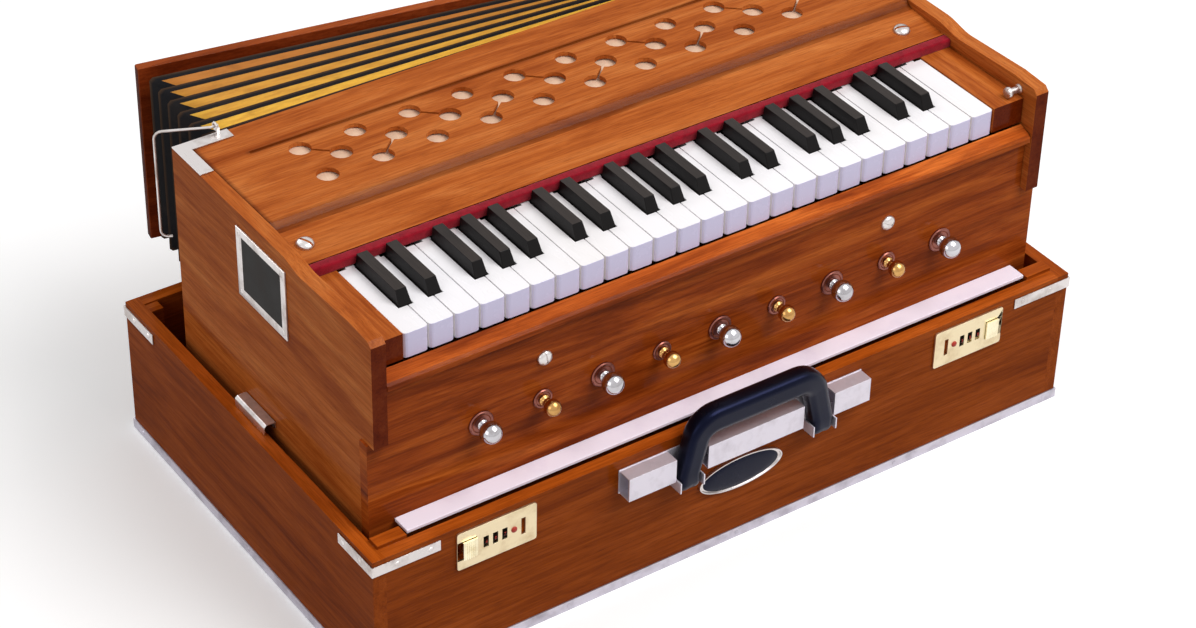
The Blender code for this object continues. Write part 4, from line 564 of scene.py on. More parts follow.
def weave(cloth, pitch, source="Object", turn=0.0):
    """Height of a plain weave whose threads are pitch apart.

    A wave texture's bands lie about BAND_SPACING apart at scale 1.
    """
    place = cloth.add("TexCoord", {}).outputs[source]
    place = cloth.add("Mapping", {"Vector": place, "Rotation": (0, 0, turn)}).outputs[0]
    threads = []
    for axis in ("X", "Y"):
        inputs = {"Vector": place, "Scale": BAND_SPACING / pitch, "Distortion": 0.4}
        threads.append(cloth.add("TexWave", inputs, bands_direction=axis).outputs["Fac"])
    return cloth.math("MULTIPLY", threads[0], threads[1])


def make_lining():
    lining = Finish("cream_lining_cloth", Sheen_Weight=0.3, Specular_IOR_Level=0.2)
    threads = weave(lining, 0.0009)
    dust = lining.noise(30, lining.spot(), detail=4)
    tone = lining.mix(threads, shade(232, 190, 156), shade(252, 228, 204))
    lining.colour(lining.mix(lining.ramp(dust, (0.45, 0.0), (0.8, 0.6)), tone, shade(214, 176, 146)))
    lining.roughness(lining.span(dust, 0.75, 0.95))
    lining.bump((threads, 0.0003, 0.6))
    return lining.material


cream_lining = make_lining()
print("lining:", cream_lining.name)

# %% [markdown]
# ## Gold card and black binding
# The bellows is card faced with gold paper, its folds and edges bound in black cloth. Both follow the folds,
# so they read the piece's own UV map, in metres, where Object coordinates would cut straight through. Across
# the folds the map is FOLDED_DEPTH wide. The gold darkens towards the board, where less light falls between
# the panels, and each ridge of the binding gets a painted brown highlight.

# %% Bellows finishes
FOLDS = 6
FOLDED_DEPTH = 0.19


def make_gold_card():
    card = Finish("gold_faced_card", Specular_IOR_Level=0.35, Sheen_Weight=0.1)
    place = card.spot((1, 1, 1), "UV")
    share = card.add("SeparateXYZ", {"Vector": place}).outputs["Y"]
    away = card.add("MapRange", {"Value": share, "From Max": FOLDED_DEPTH}).outputs["Result"]
    fibre = card.noise(260, card.spot((0.15, 1, 1), "UV"), detail=4, rough=0.7)
    scuffs = card.noise(26, card.spot((0.6, 1, 1), "UV"), detail=5, rough=0.65)
    gold = card.mix(away, shade(250, 206, 70), shade(192, 112, 46))
    gold = card.mix(card.ramp(fibre, (0.35, 0.5), (0.6, 0.0)), gold, shade(176, 112, 34))
    card.colour(card.mix(card.ramp(scuffs, (0.55, 0.0), (0.78, 0.75)), gold, shade(120, 70, 24)))
    card.roughness(card.span(scuffs, 0.45, 0.8))
    card.bump((fibre, 0.0002, 0.4), (scuffs, 0.0005, 0.3))
    return card.material


def make_binding():
    binding = Finish("black_binding_cloth", Sheen_Weight=0.1, Sheen_Roughness=0.4, Specular_IOR_Level=0.2)
    threads = weave(binding, 0.0008, "UV", 0.4)
    rubbed = binding.noise(60, binding.spot((1, 1, 1), "UV"), detail=5)
    share = binding.add("SeparateXYZ", {"Vector": binding.spot((1, 1, 1), "UV")}).outputs["Y"]
    fold = binding.math("PINGPONG", binding.math("MULTIPLY", share, 2 * FOLDS / FOLDED_DEPTH), 1.0)
    # Painted highlight: a brown line along each ridge of the folds.
    ridge = binding.ramp(fold, (0.88, 0.0), (0.99, 0.75))
    tone = binding.mix(threads, shade(7, 7, 11), shade(25, 24, 30))
    tone = binding.mix(ridge, tone, shade(84, 62, 44))
    binding.colour(binding.mix(binding.ramp(rubbed, (0.5, 0.0), (0.8, 0.6)), tone, shade(46, 40, 38)))
    binding.roughness(binding.span(rubbed, 0.6, 0.85))
    binding.bump((threads, 0.0002, 0.5))
    return binding.material


gold_card = make_gold_card()
binding = make_binding()
print("bellows:", gold_card.name, binding.name)

# %% [markdown]
# ## Finishes and soft edges on the model's own pieces
# Sharp computer edges give a model away: sanded wood and moulded keys catch a thin line of light along every
# edge. The pieces could be modelled again with round edges, but modifiers do it without touching their
# places. The meshes are loose triangles, so a Weld joins them, a planar Decimate clears the triangles off the
# flats and a Bevel rounds what is left. The top panel keeps its crisp edges, because a bevel would tear round
# its holes.

# %% Dress the model
def dress(names, material, edge=0.0, segments=2):
    """Give the nodes their finish and, where edge isn't 0, edges rounded by that much."""
    for name in names:
        node = nodes[name]
        for slot in node.material_slots:
            slot.material = material
        if not edge:
            continue
        weld = node.modifiers.new("join_triangles", "WELD")
        weld.merge_threshold = 0.00002
        flat = node.modifiers.new("clear_flats", "DECIMATE")
        flat.decimate_type = "DISSOLVE"
        flat.angle_limit = math.radians(1.5)
        soft = node.modifiers.new("soft_edges", "BEVEL")
        soft.width = edge
        soft.segments = segments
        soft.limit_method = "ANGLE"
        soft.angle_limit = math.radians(32)
        soft.harden_normals = True


def starting(*starts):
    return [name for name in nodes if name.startswith(starts)]


white_keys = [name for name in starting("key_") if name[4] in "CDEFGAB" and name[5] in "2345_"]
sharps = [name for name in starting("key_") if name[5] == "s"]
dress(["lower_case"], case_wood, 0.0012)
dress(["cabinet_shell"], cabinet_wood, 0.0016, 3)
dress(["top_panel"], top_wood)
dress(["key_rail"], block_wood, 0.0010)
dress(["front_panel"], front_wood, 0.0010)
dress(["bellows_board"], board_wood, 0.0010)
dress(["reed_board"], plain_wood)
dress(["reeds"], brass)
dress(["front_strip"], white_strip, 0.0006)
dress(["case_edge_trim"], aluminium)
dress(white_keys, white_key, 0.0005)
dress(sharps, black_key, 0.0011, 3)
dress(starting("strap_", "side_catch", "corner_plate"), nickel, 0.0003, 1)
dress(["handle_mount"], matt_nickel, 0.0003, 1)
dress(starting("latch_wire"), nickel)
dress(starting("lock_plate"), lock_metal, 0.0003, 1)
print(len(white_keys), "nodes of white keys and", len(sharps), "of sharps")

# %% [markdown]
# ## From bmesh to piece
# Each new piece is shaped in a bmesh, Blender's editable mesh. Every one then needs the same last steps:
# faces that look outwards, a mesh, smooth shading that stops at sharp edges, a finish, and the body of the
# model that it rides on. It may stand for a node of the model. One helper does all of it, so no step is
# forgotten.

# %% New piece
def new_piece(name, bm, material, body, replaced=(), smooth=35):
    """Make the object, smooth its shallow edges and let it ride on its body."""
    bmesh.ops.recalc_face_normals(bm, faces=bm.faces)
    mesh = bpy.data.meshes.new(name)
    bm.to_mesh(mesh)
    bm.free()
    mesh.shade_smooth()
    mesh.set_sharp_from_angle(angle=math.radians(smooth))
    mesh.materials.append(material)
    piece = bpy.data.objects.new(name, mesh)
    bpy.context.scene.collection.objects.link(piece)
    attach(piece, body)
    if replaced:
        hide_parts(*replaced)
    print(name, len(mesh.polygons), "faces")
    return piece


print("pieces can be finished")

# %% [markdown]
# ## A lathe
# Knobs, wheels, pegs and screws are turned parts. A cylinder could be pushed and scaled ring by ring, but
# half an outline spun round its axis is how a lathe makes them, and the outline stays easy to read and
# change.

# %% Lathe
def spin_profile(bm, profile, centre, axis, steps=32):
    """Spin (radius, height) pairs about axis through centre; the profile starts and ends on the axis."""
    way = Vector((0, 0, 1)).rotation_difference(Vector(axis)).to_matrix()
    centre = Vector(centre)
    points = [bm.verts.new(centre + way @ Vector((radius, 0, height))) for radius, height in profile]
    lines = [bm.edges.new(pair) for pair in zip(points, points[1:])]
    bmesh.ops.spin(bm, geom=points + lines, cent=centre, axis=way @ Vector((0, 0, 1)),
                   angle=2 * math.pi, steps=steps, use_merge=True)
    bmesh.ops.remove_doubles(bm, verts=bm.verts, dist=1e-6)


def add_to(bm, part):
    """Copy the finished bmesh part into bm."""
    mesh = bpy.data.meshes.new("part")
    part.to_mesh(mesh)
    part.free()
    bm.from_mesh(mesh)
    bpy.data.meshes.remove(mesh)


print("the lathe runs")

# %% [markdown]
# ## Slotted screws
# Screws are small, but their slots catch the eye because each is turned another way. A boolean cut would work
# and leaves messy faces. Here the dome is cut by two planes, and the strip between them is pushed in.

# %% Slotted screws
def cut_across(bm, x):
    """New edges where the plane at x crosses the mesh."""
    bmesh.ops.bisect_plane(bm, geom=bm.verts[:] + bm.edges[:] + bm.faces[:], dist=1e-7,
                           plane_co=(x, 0, 0), plane_no=(1, 0, 0))


def add_screw(bm, centre, axis, radius, height, slot_turn):
    """Domed screw head with a slot, standing on centre."""
    part = bmesh.new()
    dome = [(0, -0.0002), (radius, -0.0002), (radius, height * 0.25), (radius * 0.93, height * 0.5),
            (radius * 0.75, height * 0.8), (radius * 0.45, height * 0.96), (0, height)]
    spin_profile(part, dome, (0, 0, 0), (0, 0, 1), 24)
    half = radius * 0.14
    for side in (-1, 1):
        cut_across(part, side * half)
    strip = [face for face in part.faces
             if abs(face.calc_center_median().x) < half and face.calc_center_median().z > height * 0.45]
    pushed = bmesh.ops.extrude_face_region(part, geom=strip)
    bmesh.ops.delete(part, geom=strip, context="FACES_ONLY")
    verts = [item for item in pushed["geom"] if isinstance(item, bmesh.types.BMVert)]
    bmesh.ops.translate(part, verts=verts, vec=(0, 0, -height * 0.3))
    way = Vector((0, 0, 1)).rotation_difference(Vector(axis)).to_matrix().to_4x4()
    place = Matrix.Translation(centre) @ way @ Matrix.Rotation(slot_turn, 4, "Z")
    bmesh.ops.transform(part, matrix=place, verts=part.verts)
    add_to(bm, part)


print("screws can be set")

# %% [markdown]
# ## Stop knobs
# Nine knobs pull the stops: five large ones in chrome and four small ones in brass. Each is a ball on a
# waisted neck with a collar. A sphere on a cylinder would leave a hard crease between them, so stem, neck,
# collar and ball are one outline on the lathe. A stepped rosette on the panel stays behind when the knob is
# pulled, so it is a piece of its own.

# %% Stop knobs and rosettes
PANEL_Y = -0.155
STOP_Z = 0.182
BALL_OUT = 0.0136
STEM_RADIUS = 0.0028
STEM_INSIDE = 0.034
NECK_RADIUS = 0.0031
LARGE = (0.0086, 0.0102, chrome, "chrome")
SMALL = (0.0067, 0.0080, brass, "brass")


def stop_knob(number, x, radius, material):
    """Stem, neck, collar and ball of one stop."""
    start = math.degrees(math.asin(NECK_RADIUS / radius))
    profile = [(0, -STEM_INSIDE), (STEM_RADIUS, -STEM_INSIDE), (STEM_RADIUS, 0.0024), (0.0046, 0.0026),
               (0.0048, 0.0034), (0.0040, 0.0042), (0.0029, 0.0050)]
    for i in range(15):
        angle = math.radians(180 - start - (180 - start) * i / 14)
        profile.append((radius * math.sin(angle), BALL_OUT + radius * math.cos(angle)))
    profile[-1] = (0, BALL_OUT + radius)
    bm = bmesh.new()
    spin_profile(bm, profile, (x, PANEL_Y, STOP_Z), (0, -1, 0), 40)
    new_piece(f"stop_knob_{number}", bm, material, f"stop_{number}", [f"stop_{number}"], 60)


def add_rosette(bm, x, radius):
    """Stepped collar round one stem, lapping over the panel's own."""
    hole = STEM_RADIUS + 0.0004
    profile = [(hole, 0.0), (radius, 0.0), (radius, 0.0012), (radius * 0.92, 0.0019),
               (radius * 0.78, 0.0019), (radius * 0.74, 0.0015), (radius * 0.52, 0.0021), (hole, 0.0021)]
    part = bmesh.new()
    spin_profile(part, profile, (x, PANEL_Y, STOP_Z), (0, -1, 0), 36)
    add_to(bm, part)


rosettes = bmesh.new()
for number in range(1, 10):
    low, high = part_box(f"stop_{number}")
    middle = (low.x + high.x) / 2
    ball, rosette, material, slot = LARGE if number % 2 else SMALL
    stop_knob(number, middle, ball, material)
    add_rosette(rosettes, middle, rosette)
# The rosettes take the metal whose colour paints in the reflection of the wood.
new_piece("stop_rosettes", rosettes, rosette_reflection_metal, "cabinet")

# %% [markdown]
# ## Screws and peg
# Big domed screws hold the key rail and the front panel, and a turned peg on the right cheek holds the lid's
# cord. The model has plain domes there. A bump map could draw their slots, but it wouldn't be in the shape,
# so slotted heads sit over them. No two slots point the same way, as when a person has driven them.

# %% Screws and peg
RAIL_SCREWS = ((-0.280, 0.5), (0.262, 1.3))
RAIL_SCREW_Y = -0.0302
RAIL_SCREW_SINK = 0.0038
RAIL_SLOPE = (0, -0.09, 1)
PANEL_SCREWS = ((-0.1585, 0.2), (0.1545, 1.0))
PANEL_SCREW_Z = 0.218
PEG_AT = (0.289, -0.1415, 0.285)


def make_screws():
    """Each screw is given by its x and the turn of its slot."""
    bm = bmesh.new()
    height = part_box("key_rail")[1].z - RAIL_SCREW_SINK
    for x, turn in RAIL_SCREWS:
        add_screw(bm, (x, RAIL_SCREW_Y, height), RAIL_SLOPE, 0.0069, 0.0042, turn)
    for x, turn in PANEL_SCREWS:
        add_screw(bm, (x, PANEL_Y, PANEL_SCREW_Z), (0, -1, 0), 0.0062, 0.0036, turn)
    new_piece("dome_screws", bm, nickel, "cabinet")


def make_peg():
    bm = bmesh.new()
    profile = [(0, -0.0005), (0.0040, -0.0005), (0.0040, 0.0008), (0.0028, 0.0014), (0.0028, 0.0094),
               (0.0044, 0.0100), (0.0046, 0.0114), (0.0040, 0.0130), (0.0022, 0.01345), (0, 0.0135)]
    spin_profile(bm, profile, PEG_AT, (-1, 0, 0), 28)
    new_piece("cord_peg", bm, nickel, "cabinet", smooth=50)


make_screws()
make_peg()

# %% [markdown]
# ## Red felt
# A strip of thick felt closes the slit between the keys and the rail and keeps the keys quiet. Cloth
# simulation isn't needed, because it is glued down. A block is rounded along its length and cut into slices,
# and every point is nudged by smooth noise, which gives the soft, uneven edge of cut felt.

# %% Felt strip
FELT_DROP = 0.0013
FELT_SLICES = 240
FELT_WAVER = 0.00035


def make_felt_strip():
    low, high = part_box("key_felt")
    low.z -= FELT_DROP
    size = high - low
    bm = bmesh.new()
    middle = Matrix.Translation((low + high) / 2) @ Matrix.Diagonal((*size, 1))
    bmesh.ops.create_cube(bm, size=1, matrix=middle)
    long = [edge for edge in bm.edges if abs(edge.verts[0].co.x - edge.verts[1].co.x) > 0.1]
    bmesh.ops.bevel(bm, geom=long, offset=0.0016, segments=4, affect="EDGES", profile=0.5, material=-1)
    for number in range(1, FELT_SLICES):
        cut_across(bm, low.x + size.x * number / FELT_SLICES)
    for vert in bm.verts:
        vert.co += noise.noise_vector(vert.co * 160) * FELT_WAVER
        vert.co.x = min(max(vert.co.x, low.x), high.x)
    new_piece("felt_strip", bm, red_felt, "cabinet", ["key_felt"], 80)


make_felt_strip()

# %% [markdown]
# ## Lining behind the grille
# Cream cloth is stretched under the pierced panel, so that dust stays out and sound comes through. A flat
# plane would look like paper in the holes. A fine grid that sags a little between its glued edges, with a
# faint ripple, looks like cloth, and it needs no simulation because nothing moves it.

# %% Lining cloth
LINING_SAG = 0.0012


def make_lining_cloth():
    low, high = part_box("grille_lining")
    bm = bmesh.new()
    bmesh.ops.create_grid(bm, x_segments=120, y_segments=20, size=0.5)
    for vert in bm.verts:
        across, deep = vert.co.x * 2, vert.co.y * 2
        sag = (1 - across ** 8) * (1 - deep ** 4)
        ripple = noise.noise(Vector((vert.co.x * 30, vert.co.y * 5, 0))) * 0.0002
        vert.co.x = (low.x + high.x) / 2 + across * (high.x - low.x) / 2
        vert.co.y = (low.y + high.y) / 2 + deep * (high.y - low.y) / 2
        vert.co.z = high.z - 0.0002 + (ripple - LINING_SAG) * sag
    piece = new_piece("lining_cloth", bm, cream_lining, "cabinet", ["grille_lining"], 180)


make_lining_cloth()

# %% [markdown]
# ## Bellows
# The real bellows is card panels hinged with cloth, folded like a fan whose spine is at the right. Seen from
# above, each fold is a gold stripe between black bound edges. Every panel could be a rigid piece with its own
# hinge, but then the corners would part. So the wrapper round the folds is cut into short strips along its
# way. Each strip is a grid whose points are moved onto the fan, open at one fixed angle, and blends between
# the cabinet and the board over the fan's own width at that place, so the strips meet. Then they are joined
# into one.

# %% Bellows folds
BACK_Y = 0.1213
HINGE = (0.289, 0.1367)
OPEN_ANGLE = math.radians(9.6)
BOARD_LENGTH = 0.5703
BELLOWS_TOP = 0.296
BELLOWS_FOOT = 0.138
STEPS = 8
EDGE_GAP = 0.004
VALLEY_SINK = 0.0128
VALLEY_END = 0.016
RIDGE_CUT = 0.0025
VALLEY_CUT = 0.010
GOLD_FROM, GOLD_TO = 0.15, 0.80


def ridge(share):
    """1 on the ridges and 0 in the valleys of the folds."""
    return 1 - abs(2 * ((share * FOLDS) % 1) - 1)


def fan_point(share, along, z):
    """share is 0 at the cabinet and 1 at the board; along is the distance from the hinge line."""
    angle = OPEN_ANGLE * share
    y = BACK_Y + (HINGE[1] - BACK_Y) * share
    return Vector((HINGE[0] - along * math.cos(angle), y + along * math.sin(angle), z))


def wrapper(way, share):
    """(along, z) of the wrapper: way runs 0-1 over the top, 1-2-3 down the open end, 3-5 back below, 5-6 up."""
    valley = 1 - ridge(share)
    sink = EDGE_GAP + VALLEY_SINK * valley
    end = BOARD_LENGTH - EDGE_GAP - VALLEY_END * valley
    high, low = BELLOWS_TOP - sink, BELLOWS_FOOT + sink
    cut = RIDGE_CUT + VALLEY_CUT * valley
    corners = [(EDGE_GAP, high), (end - cut, high), (end, high - cut), (end, low + cut), (end - cut, low),
               (EDGE_GAP, low), (EDGE_GAP, high)]
    index = min(int(way), 5)
    first, second = corners[index], corners[index + 1]
    part = way - index
    return tuple(a + (b - a) * part for a, b in zip(first, second))


def strip_of_folds(start, end):
    """Grid of the wrapper between two places on its way, gold in the middle of each panel's top and foot."""
    bm = bmesh.new()
    bmesh.ops.create_grid(bm, x_segments=1, y_segments=2 * FOLDS * STEPS, size=0.5)
    layer = bm.loops.layers.uv.new("UVMap")
    places = {}
    for vert in bm.verts:
        way = start + (end - start) * (vert.co.x + 0.5)
        share = min(max(vert.co.y + 0.5, 0.0), 1.0)
        along, z = wrapper(way, share)
        places[vert] = (along, z, share)
        vert.co = fan_point(share, along, z)
    for face in bm.faces:
        share = sum(places[vert][2] for vert in face.verts) / 4
        gold_run = end <= 1 or 4 <= start and end <= 5
        face.material_index = 0 if gold_run and GOLD_FROM < ridge(share) < GOLD_TO else 1
        for loop in face.loops:
            along, z, share = places[loop.vert]
            loop[layer].uv = (along - z, share * FOLDED_DEPTH)
    mesh = bpy.data.meshes.new("strip")
    mesh.materials.append(gold_card)
    mesh.materials.append(binding)
    bm.to_mesh(mesh)
    bm.free()
    strip = bpy.data.objects.new("strip", mesh)
    bpy.context.scene.collection.objects.link(strip)
    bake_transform(strip)
    return strip


def make_folds():
    """All the strips, joined into one piece that stands for the model's solid folds."""
    stops = [i / 30 for i in range(30)] + [1, 1.5] + [2 + i / 6 for i in range(6)] + [3, 3.5]
    stops += [4 + i / 30 for i in range(31)] + [5.5, 6]
    strips = [strip_of_folds(a, b) for a, b in zip(stops, stops[1:])]
    with bpy.context.temp_override(active_object=strips[0], object=strips[0], selected_objects=strips,
                                   selected_editable_objects=strips):
        bpy.ops.object.join()
    folds = strips[0]
    folds.name = "bellows_fold_wrapper"
    bm = bmesh.new()
    bm.from_mesh(folds.data)
    bmesh.ops.remove_doubles(bm, verts=bm.verts, dist=1e-5)
    bmesh.ops.recalc_face_normals(bm, faces=bm.faces)
    bm.to_mesh(folds.data)
    bm.free()
    folds.data.shade_smooth()
    folds.data.set_sharp_from_angle(angle=math.radians(40))
    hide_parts("bellows_folds")
    print("bellows", len(folds.data.polygons), "faces from", len(strips), "strips")


make_folds()

# %% [markdown]
# ## Handle grip
# The grip is one moulding: two legs with round feet and a thicker bar. A curve with a bevel could sweep it,
# but a curve keeps one section. So a ring of points is pushed along the legs, round the corners and along the
# bar, changing size on the way. A shallow channel along its front and back is part of that ring.

# %% Handle grip
GRIP_X = 0.004
PIVOT = (-0.1967, 0.090)
LEG_OUT = 0.062
LEG_LEAN = 0.0065
GRIP_TOP = 0.139
CORNER = 0.017
LEG_HALF = (0.0095, 0.00775)
BAR_HALF = (0.0105, 0.009)


def grip_way():
    """Stations of the left half: x, z, turn of the section, half width and half depth."""
    way = []
    for degrees in (82, 65, 45, 25, 0):
        angle = math.radians(degrees)
        foot = PIVOT[1] - LEG_HALF[1] * math.sin(angle)
        way.append((-LEG_OUT, foot, 0, LEG_HALF[0], LEG_HALF[1] * math.cos(angle)))
    way.append((-LEG_OUT, PIVOT[1] + 0.008, 0, *LEG_HALF))
    middle = (-LEG_OUT + LEG_LEAN + CORNER, GRIP_TOP - CORNER)
    for i in range(9):
        angle = math.radians(165 - 75 * i / 8)
        share = math.sin(math.pi - angle)
        spot = (middle[0] + CORNER * math.cos(angle), middle[1] + CORNER * math.sin(angle))
        half = [leg + (bar - leg) * share for leg, bar in zip(LEG_HALF, BAR_HALF)]
        way.append((*spot, math.pi - angle, *half))
    for i in range(1, 6):
        way.append((middle[0] * (1 - i / 6), GRIP_TOP, math.pi / 2, *BAR_HALF))
    return way


def grip_matrix(x, z, turn, half_wide, half_deep):
    """Turns, sizes and places the ring of points for one station."""
    across = Vector((math.cos(turn), 0, -math.sin(turn)))
    along = Vector((math.sin(turn), 0, math.cos(turn)))
    frame_of = Matrix((across, Vector((0, 1, 0)), along)).transposed().to_4x4()
    spot = Matrix.Translation((GRIP_X + x, PIVOT[0], z))
    return spot @ frame_of @ Matrix.Diagonal((half_wide, half_deep, 1, 1))


def make_grip():
    left = grip_way()
    right = [(-x, z, math.pi - turn, wide, deep) for x, z, turn, wide, deep in reversed(left)]
    middle = (0, GRIP_TOP, math.pi / 2, *BAR_HALF)
    way = [grip_matrix(*station) for station in left + [middle] + right]
    bm = bmesh.new()
    ring = bmesh.ops.create_circle(bm, segments=28, radius=1, cap_ends=False)["verts"]
    for vert in ring:
        for axis in (0, 1):
            vert.co[axis] = math.copysign(abs(vert.co[axis]) ** 0.62, vert.co[axis])
        vert.co.y -= 0.10 * max(0, 1 - (vert.co.x / 0.28) ** 2) * (1 if vert.co.y > 0 else -1)
    bmesh.ops.transform(bm, matrix=way[0], verts=ring)
    bm.faces.new(ring)
    edges = bm.edges[:]
    for before, after in zip(way, way[1:]):
        pushed = bmesh.ops.extrude_edge_only(bm, edges=edges)["geom"]
        verts = [item for item in pushed if isinstance(item, bmesh.types.BMVert)]
        edges = [item for item in pushed if isinstance(item, bmesh.types.BMEdge)]
        bmesh.ops.transform(bm, matrix=after @ before.inverted(), verts=verts)
    bmesh.ops.holes_fill(bm, edges=edges, sides=0)
    new_piece("moulded_grip", bm, black_plastic, "grip", ["handle_grip"], 50)


make_grip()

# %% [markdown]
# ## Badge
# A blank oval badge sits below the handle: a dark domed face in a thin bright rim. One disc with two finishes
# would do from afar, but the rim and the enamel are two parts on the real one, and only real steps catch
# light along the edge. Each starts as a disc that is scaled to an oval and extruded; the rim is then inset
# and pushed in, and the face rises in a few shrinking rings.

# %% Badge
def make_badge():
    low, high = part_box("badge_plate")
    middle = (low + high) / 2
    way = Matrix.Translation((middle.x, high.y, middle.z)) @ Matrix.Rotation(math.pi / 2, 4, "X")
    for name, material, slot, reach, lift in (("badge_rim", nickel, "nickel", 1.0, 0.0027),
                                              ("badge_face", black_plastic, "black_plastic", 0.91, 0.0016)):
        bm = bmesh.new()
        bmesh.ops.create_circle(bm, segments=72, radius=1, cap_ends=True)
        bmesh.ops.scale(bm, vec=((high.x - low.x) / 2 * reach, (high.z - low.z) / 2 * reach, 1), verts=bm.verts)
        top = bmesh.ops.extrude_face_region(bm, geom=bm.faces[:])["geom"]
        verts = [item for item in top if isinstance(item, bmesh.types.BMVert)]
        bmesh.ops.translate(bm, verts=verts, vec=(0, 0, lift))
        cap = [item for item in top if isinstance(item, bmesh.types.BMFace)]
        if name == "badge_rim":
            bmesh.ops.inset_region(bm, faces=cap, thickness=0.0009, depth=0.0)
            bmesh.ops.inset_region(bm, faces=cap, thickness=0.0006, depth=-0.0012)
        else:
            for share, rise in ((0.93, 0.0004), (0.85, 0.0003), (0.80, 0.0002)):
                pushed = bmesh.ops.extrude_face_region(bm, geom=cap)["geom"]
                bmesh.ops.delete(bm, geom=cap, context="FACES_ONLY")
                cap = [item for item in pushed if isinstance(item, bmesh.types.BMFace)]
                verts = [item for item in pushed if isinstance(item, bmesh.types.BMVert)]
                bmesh.ops.scale(bm, vec=(share, share, 1), verts=verts)
                bmesh.ops.translate(bm, verts=verts, vec=(0, 0, rise))
        bmesh.ops.transform(bm, matrix=way, verts=bm.verts)
        new_piece(name, bm, material, "case", ["badge_plate"] if name == "badge_rim" else [], 40)


make_badge()

# %% [markdown]
# ## Label
# On the left side board is a nickel frame round a blank field of dark enamel. The frame could be four strips
# with mitred corners, but it is stamped from one sheet. So a block's outer face is inset twice, the second
# time pushed in a little, and the sunk face gets the enamel. Four pins hold it.

# %% Label
LABEL_BORDER = 0.0085
LABEL_SINK = 0.0007
PIN_IN = 0.0045


def make_label():
    low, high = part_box("label_plate")
    bm = bmesh.new()
    place = Matrix.Translation((low + high) / 2) @ Matrix.Diagonal((*(high - low), 1))
    bmesh.ops.create_cube(bm, size=1, matrix=place)
    bm.normal_update()
    outside = [face for face in bm.faces if face.normal.x < -0.9]
    bmesh.ops.inset_region(bm, faces=outside, thickness=LABEL_BORDER, depth=0.0)
    bmesh.ops.inset_region(bm, faces=outside, thickness=0.0010, depth=-LABEL_SINK)
    rim = [edge for edge in bm.edges if abs(edge.calc_face_angle(0)) > 1.2
           and max(vert.co.x for vert in edge.verts) < low.x + 0.0003]
    bmesh.ops.bevel(bm, geom=rim, offset=0.0003, segments=2, affect="EDGES", profile=0.5, material=-1)
    frame_piece = new_piece("label_frame", bm, nickel, "cabinet", ["label_plate"])
    frame_piece.data.materials.append(field_black)
    for face in frame_piece.data.polygons:
        if abs(face.center.x - low.x - LABEL_SINK) < 0.00012 and face.area > 1e-4:
            face.material_index = 1
    bm = bmesh.new()
    for y in (low.y + PIN_IN, high.y - PIN_IN):
        for z in (low.z + PIN_IN, high.z - PIN_IN):
            add_screw(bm, (low.x + 0.0001, y, z), (-1, 0, 0), 0.0019, 0.0008, y * 90)
    new_piece("label_pins", bm, nickel, "cabinet")


make_label()

# %% [markdown]
# ## Number wheels
# Each combination lock has three black number wheels on one shaft. Their edges are knurled, so that a thumb
# can turn them. Teeth could be cut one by one, but a wheel spun in forty steps already has the points for
# them: every second one is drawn in a little.

# %% Number wheels
WHEEL_PITCH = 0.008
WHEEL_WIDTH = 0.0034
WHEEL_STEPS = 40
SHAFT_RADIUS = 0.0014


def make_wheels(hand):
    low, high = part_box(f"lock_dials_{hand}")
    centre = (low + high) / 2
    radius = (high.z - low.z) / 2
    bm = bmesh.new()
    wheel = [(0, 0), (radius * 0.90, 0), (radius, 0.0006), (radius, WHEEL_WIDTH - 0.0006),
             (radius * 0.90, WHEEL_WIDTH), (0, WHEEL_WIDTH)]
    for number in (-1, 0, 1):
        start = centre.x + number * WHEEL_PITCH - WHEEL_WIDTH / 2
        part = bmesh.new()
        spin_profile(part, wheel, (start, centre.y, centre.z), (1, 0, 0), WHEEL_STEPS)
        for vert in part.verts:
            offset = Vector((0, vert.co.y - centre.y, vert.co.z - centre.z))
            if offset.length > radius * 0.8:
                step = math.atan2(offset.z, offset.y) / (2 * math.pi / WHEEL_STEPS)
                tooth = 0.97 if round(step) % 2 else 1.0
                vert.co.y = centre.y + offset.y * tooth
                vert.co.z = centre.z + offset.z * tooth
        add_to(bm, part)
    part = bmesh.new()
    long = high.x - low.x
    shaft = [(0, 0), (SHAFT_RADIUS, 0), (SHAFT_RADIUS, long), (0, long)]
    spin_profile(part, shaft, (low.x, centre.y, centre.z), (1, 0, 0), 12)
    add_to(bm, part)
    dials = f"lock_dials_{hand}"
    new_piece(f"number_wheels_{hand}", bm, field_black, dials, [dials], 25)


make_wheels("left")
make_wheels("right")

# %% [markdown]
# ## Lock buttons
# A button at the end of each lock slides sideways and frees the hasp. Fine ribs help the thumb. They could be
# rows of small bars, but then each end would need rounding; cutting the block across and pushing every second
# line of points back leaves ribs in one closed skin.

# %% Lock buttons
RIB_CUTS = 15
RIB_HEIGHT = 0.0006


def make_button(hand):
    low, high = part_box(f"lock_button_{hand}")
    bm = bmesh.new()
    place = Matrix.Translation((low + high) / 2) @ Matrix.Diagonal((*(high - low), 1))
    bmesh.ops.create_cube(bm, size=1, matrix=place)
    for number in range(1, RIB_CUTS):
        cut_across(bm, low.x + (high.x - low.x) * number / RIB_CUTS)
    for vert in bm.verts:
        cut = round((vert.co.x - low.x) / (high.x - low.x) * RIB_CUTS)
        on_rib = cut % 2 and 2 < cut < RIB_CUTS - 2
        if vert.co.y < low.y + 0.0001 and not on_rib:
            vert.co.y += RIB_HEIGHT
    button = f"lock_button_{hand}"
    new_piece(f"ribbed_button_{hand}", bm, button_metal, button, [button], 20)


make_button("left")
make_button("right")

# %% [markdown]
# ## Index dots
# A red enamel dot beside the wheels shows where the number is read. It could be painted on by the finish of
# the plate, but on the real one it stands proud and catches a little light, so it is a low dome from the
# lathe.

# %% Index dots
LOCK_FACE_Y = -0.1881
DOT_OUT = 0.0145


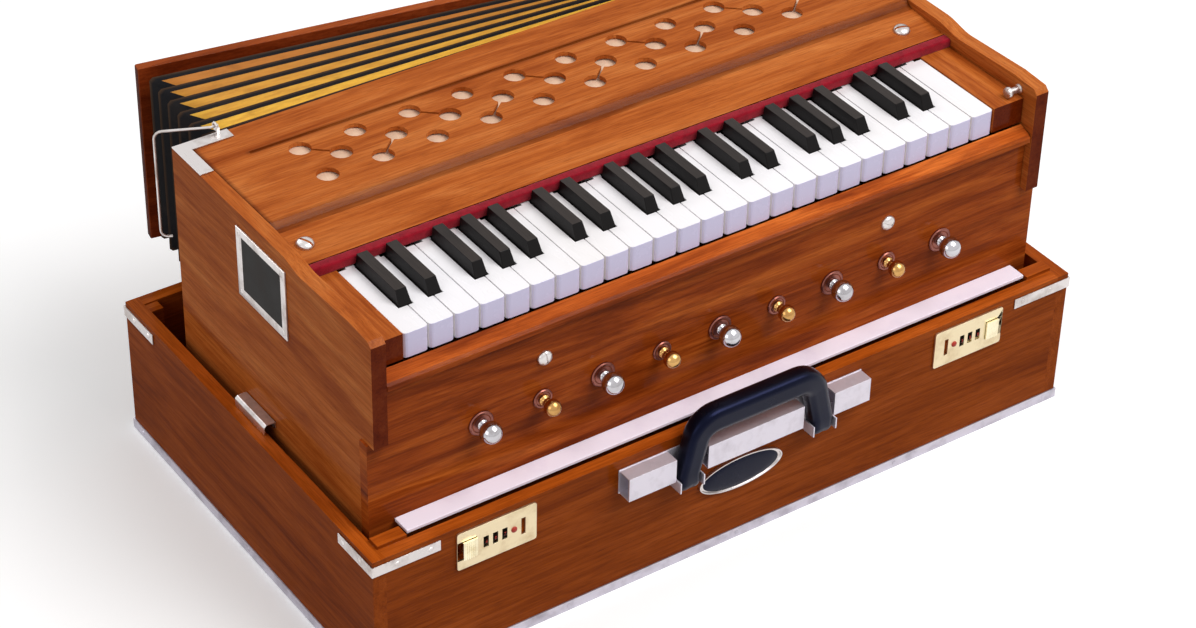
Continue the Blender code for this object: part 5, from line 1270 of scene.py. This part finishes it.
def make_dot(hand, side):
    """The dot lies on the plate's right for side 1 and on its left for side -1."""
    low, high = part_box(f"lock_plate_{hand}")
    x = (low.x + high.x) / 2 + side * DOT_OUT
    profile = [(0, -0.0004), (0.0025, -0.0004), (0.0025, 0.0004), (0.0019, 0.0010), (0, 0.0013)]
    bm = bmesh.new()
    spin_profile(bm, profile, (x, LOCK_FACE_Y, (low.z + high.z) / 2), (0, -1, 0), 20)
    new_piece(f"index_dot_{hand}", bm, dot_red, "case", smooth=60)


make_dot("left", 1)
make_dot("right", -1)

# %% [markdown]
# ## Digits
# Each wheel shows one red digit. A picture of numbers could be wrapped round it, but a text object gives
# clean outlines at any distance. It is made a mesh, turned upright, and each point is set back by as much as
# the wheel curves away, so the digits lie on it.

# %% Digits
DIGIT_SIZE = 0.0040


def make_digits(hand, digits):
    """Raised red digits on the fronts of the number wheels, bent round them."""
    low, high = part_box(f"lock_dials_{hand}")
    centre = (low + high) / 2
    radius = (high.z - low.z) / 2
    bm = bmesh.new()
    for number, digit in zip((-1, 0, 1), digits):
        curve = bpy.data.curves.new("digit", "FONT")
        curve.body = digit
        curve.size = DIGIT_SIZE
        curve.extrude = 0.0001
        curve.align_x = "CENTER"
        curve.align_y = "CENTER"
        carrier = bpy.data.objects.new("digit", curve)
        mesh = bpy.data.meshes.new_from_object(carrier)
        part = bmesh.new()
        part.from_mesh(mesh)
        bpy.data.objects.remove(carrier)
        wheel = Matrix.Translation((centre.x + number * WHEEL_PITCH, 0, 0))
        upright = Matrix.Rotation(math.pi / 2, 4, "X")
        bmesh.ops.transform(part, matrix=wheel @ upright, verts=part.verts)
        for vert in part.verts:
            drop = radius - math.sqrt(max(radius ** 2 - vert.co.z ** 2, 0))
            vert.co.y += centre.y - radius + drop
            vert.co.z += centre.z
        add_to(bm, part)
    new_piece(f"wheel_digits_{hand}", bm, dot_red, f"lock_dials_{hand}")


make_digits("left", "407")
make_digits("right", "358")

# %% [markdown]
# ## Finish
# A dressed model must keep the size of the bare one. Measuring by eye is easy to get wrong, so the last cell
# prints how far each corner of the dressed instrument's box lies from the model's, in millimetres, and then
# ends the scene.

# %% Finish
sizes["visual"] = [list(corner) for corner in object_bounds()]
for end, solid, dressed in zip(("low", "high"), sizes["cad"], sizes["visual"]):
    print(end, "corner moved by", [round((b - a) * 1000, 2) for a, b in zip(solid, dressed)], "mm")
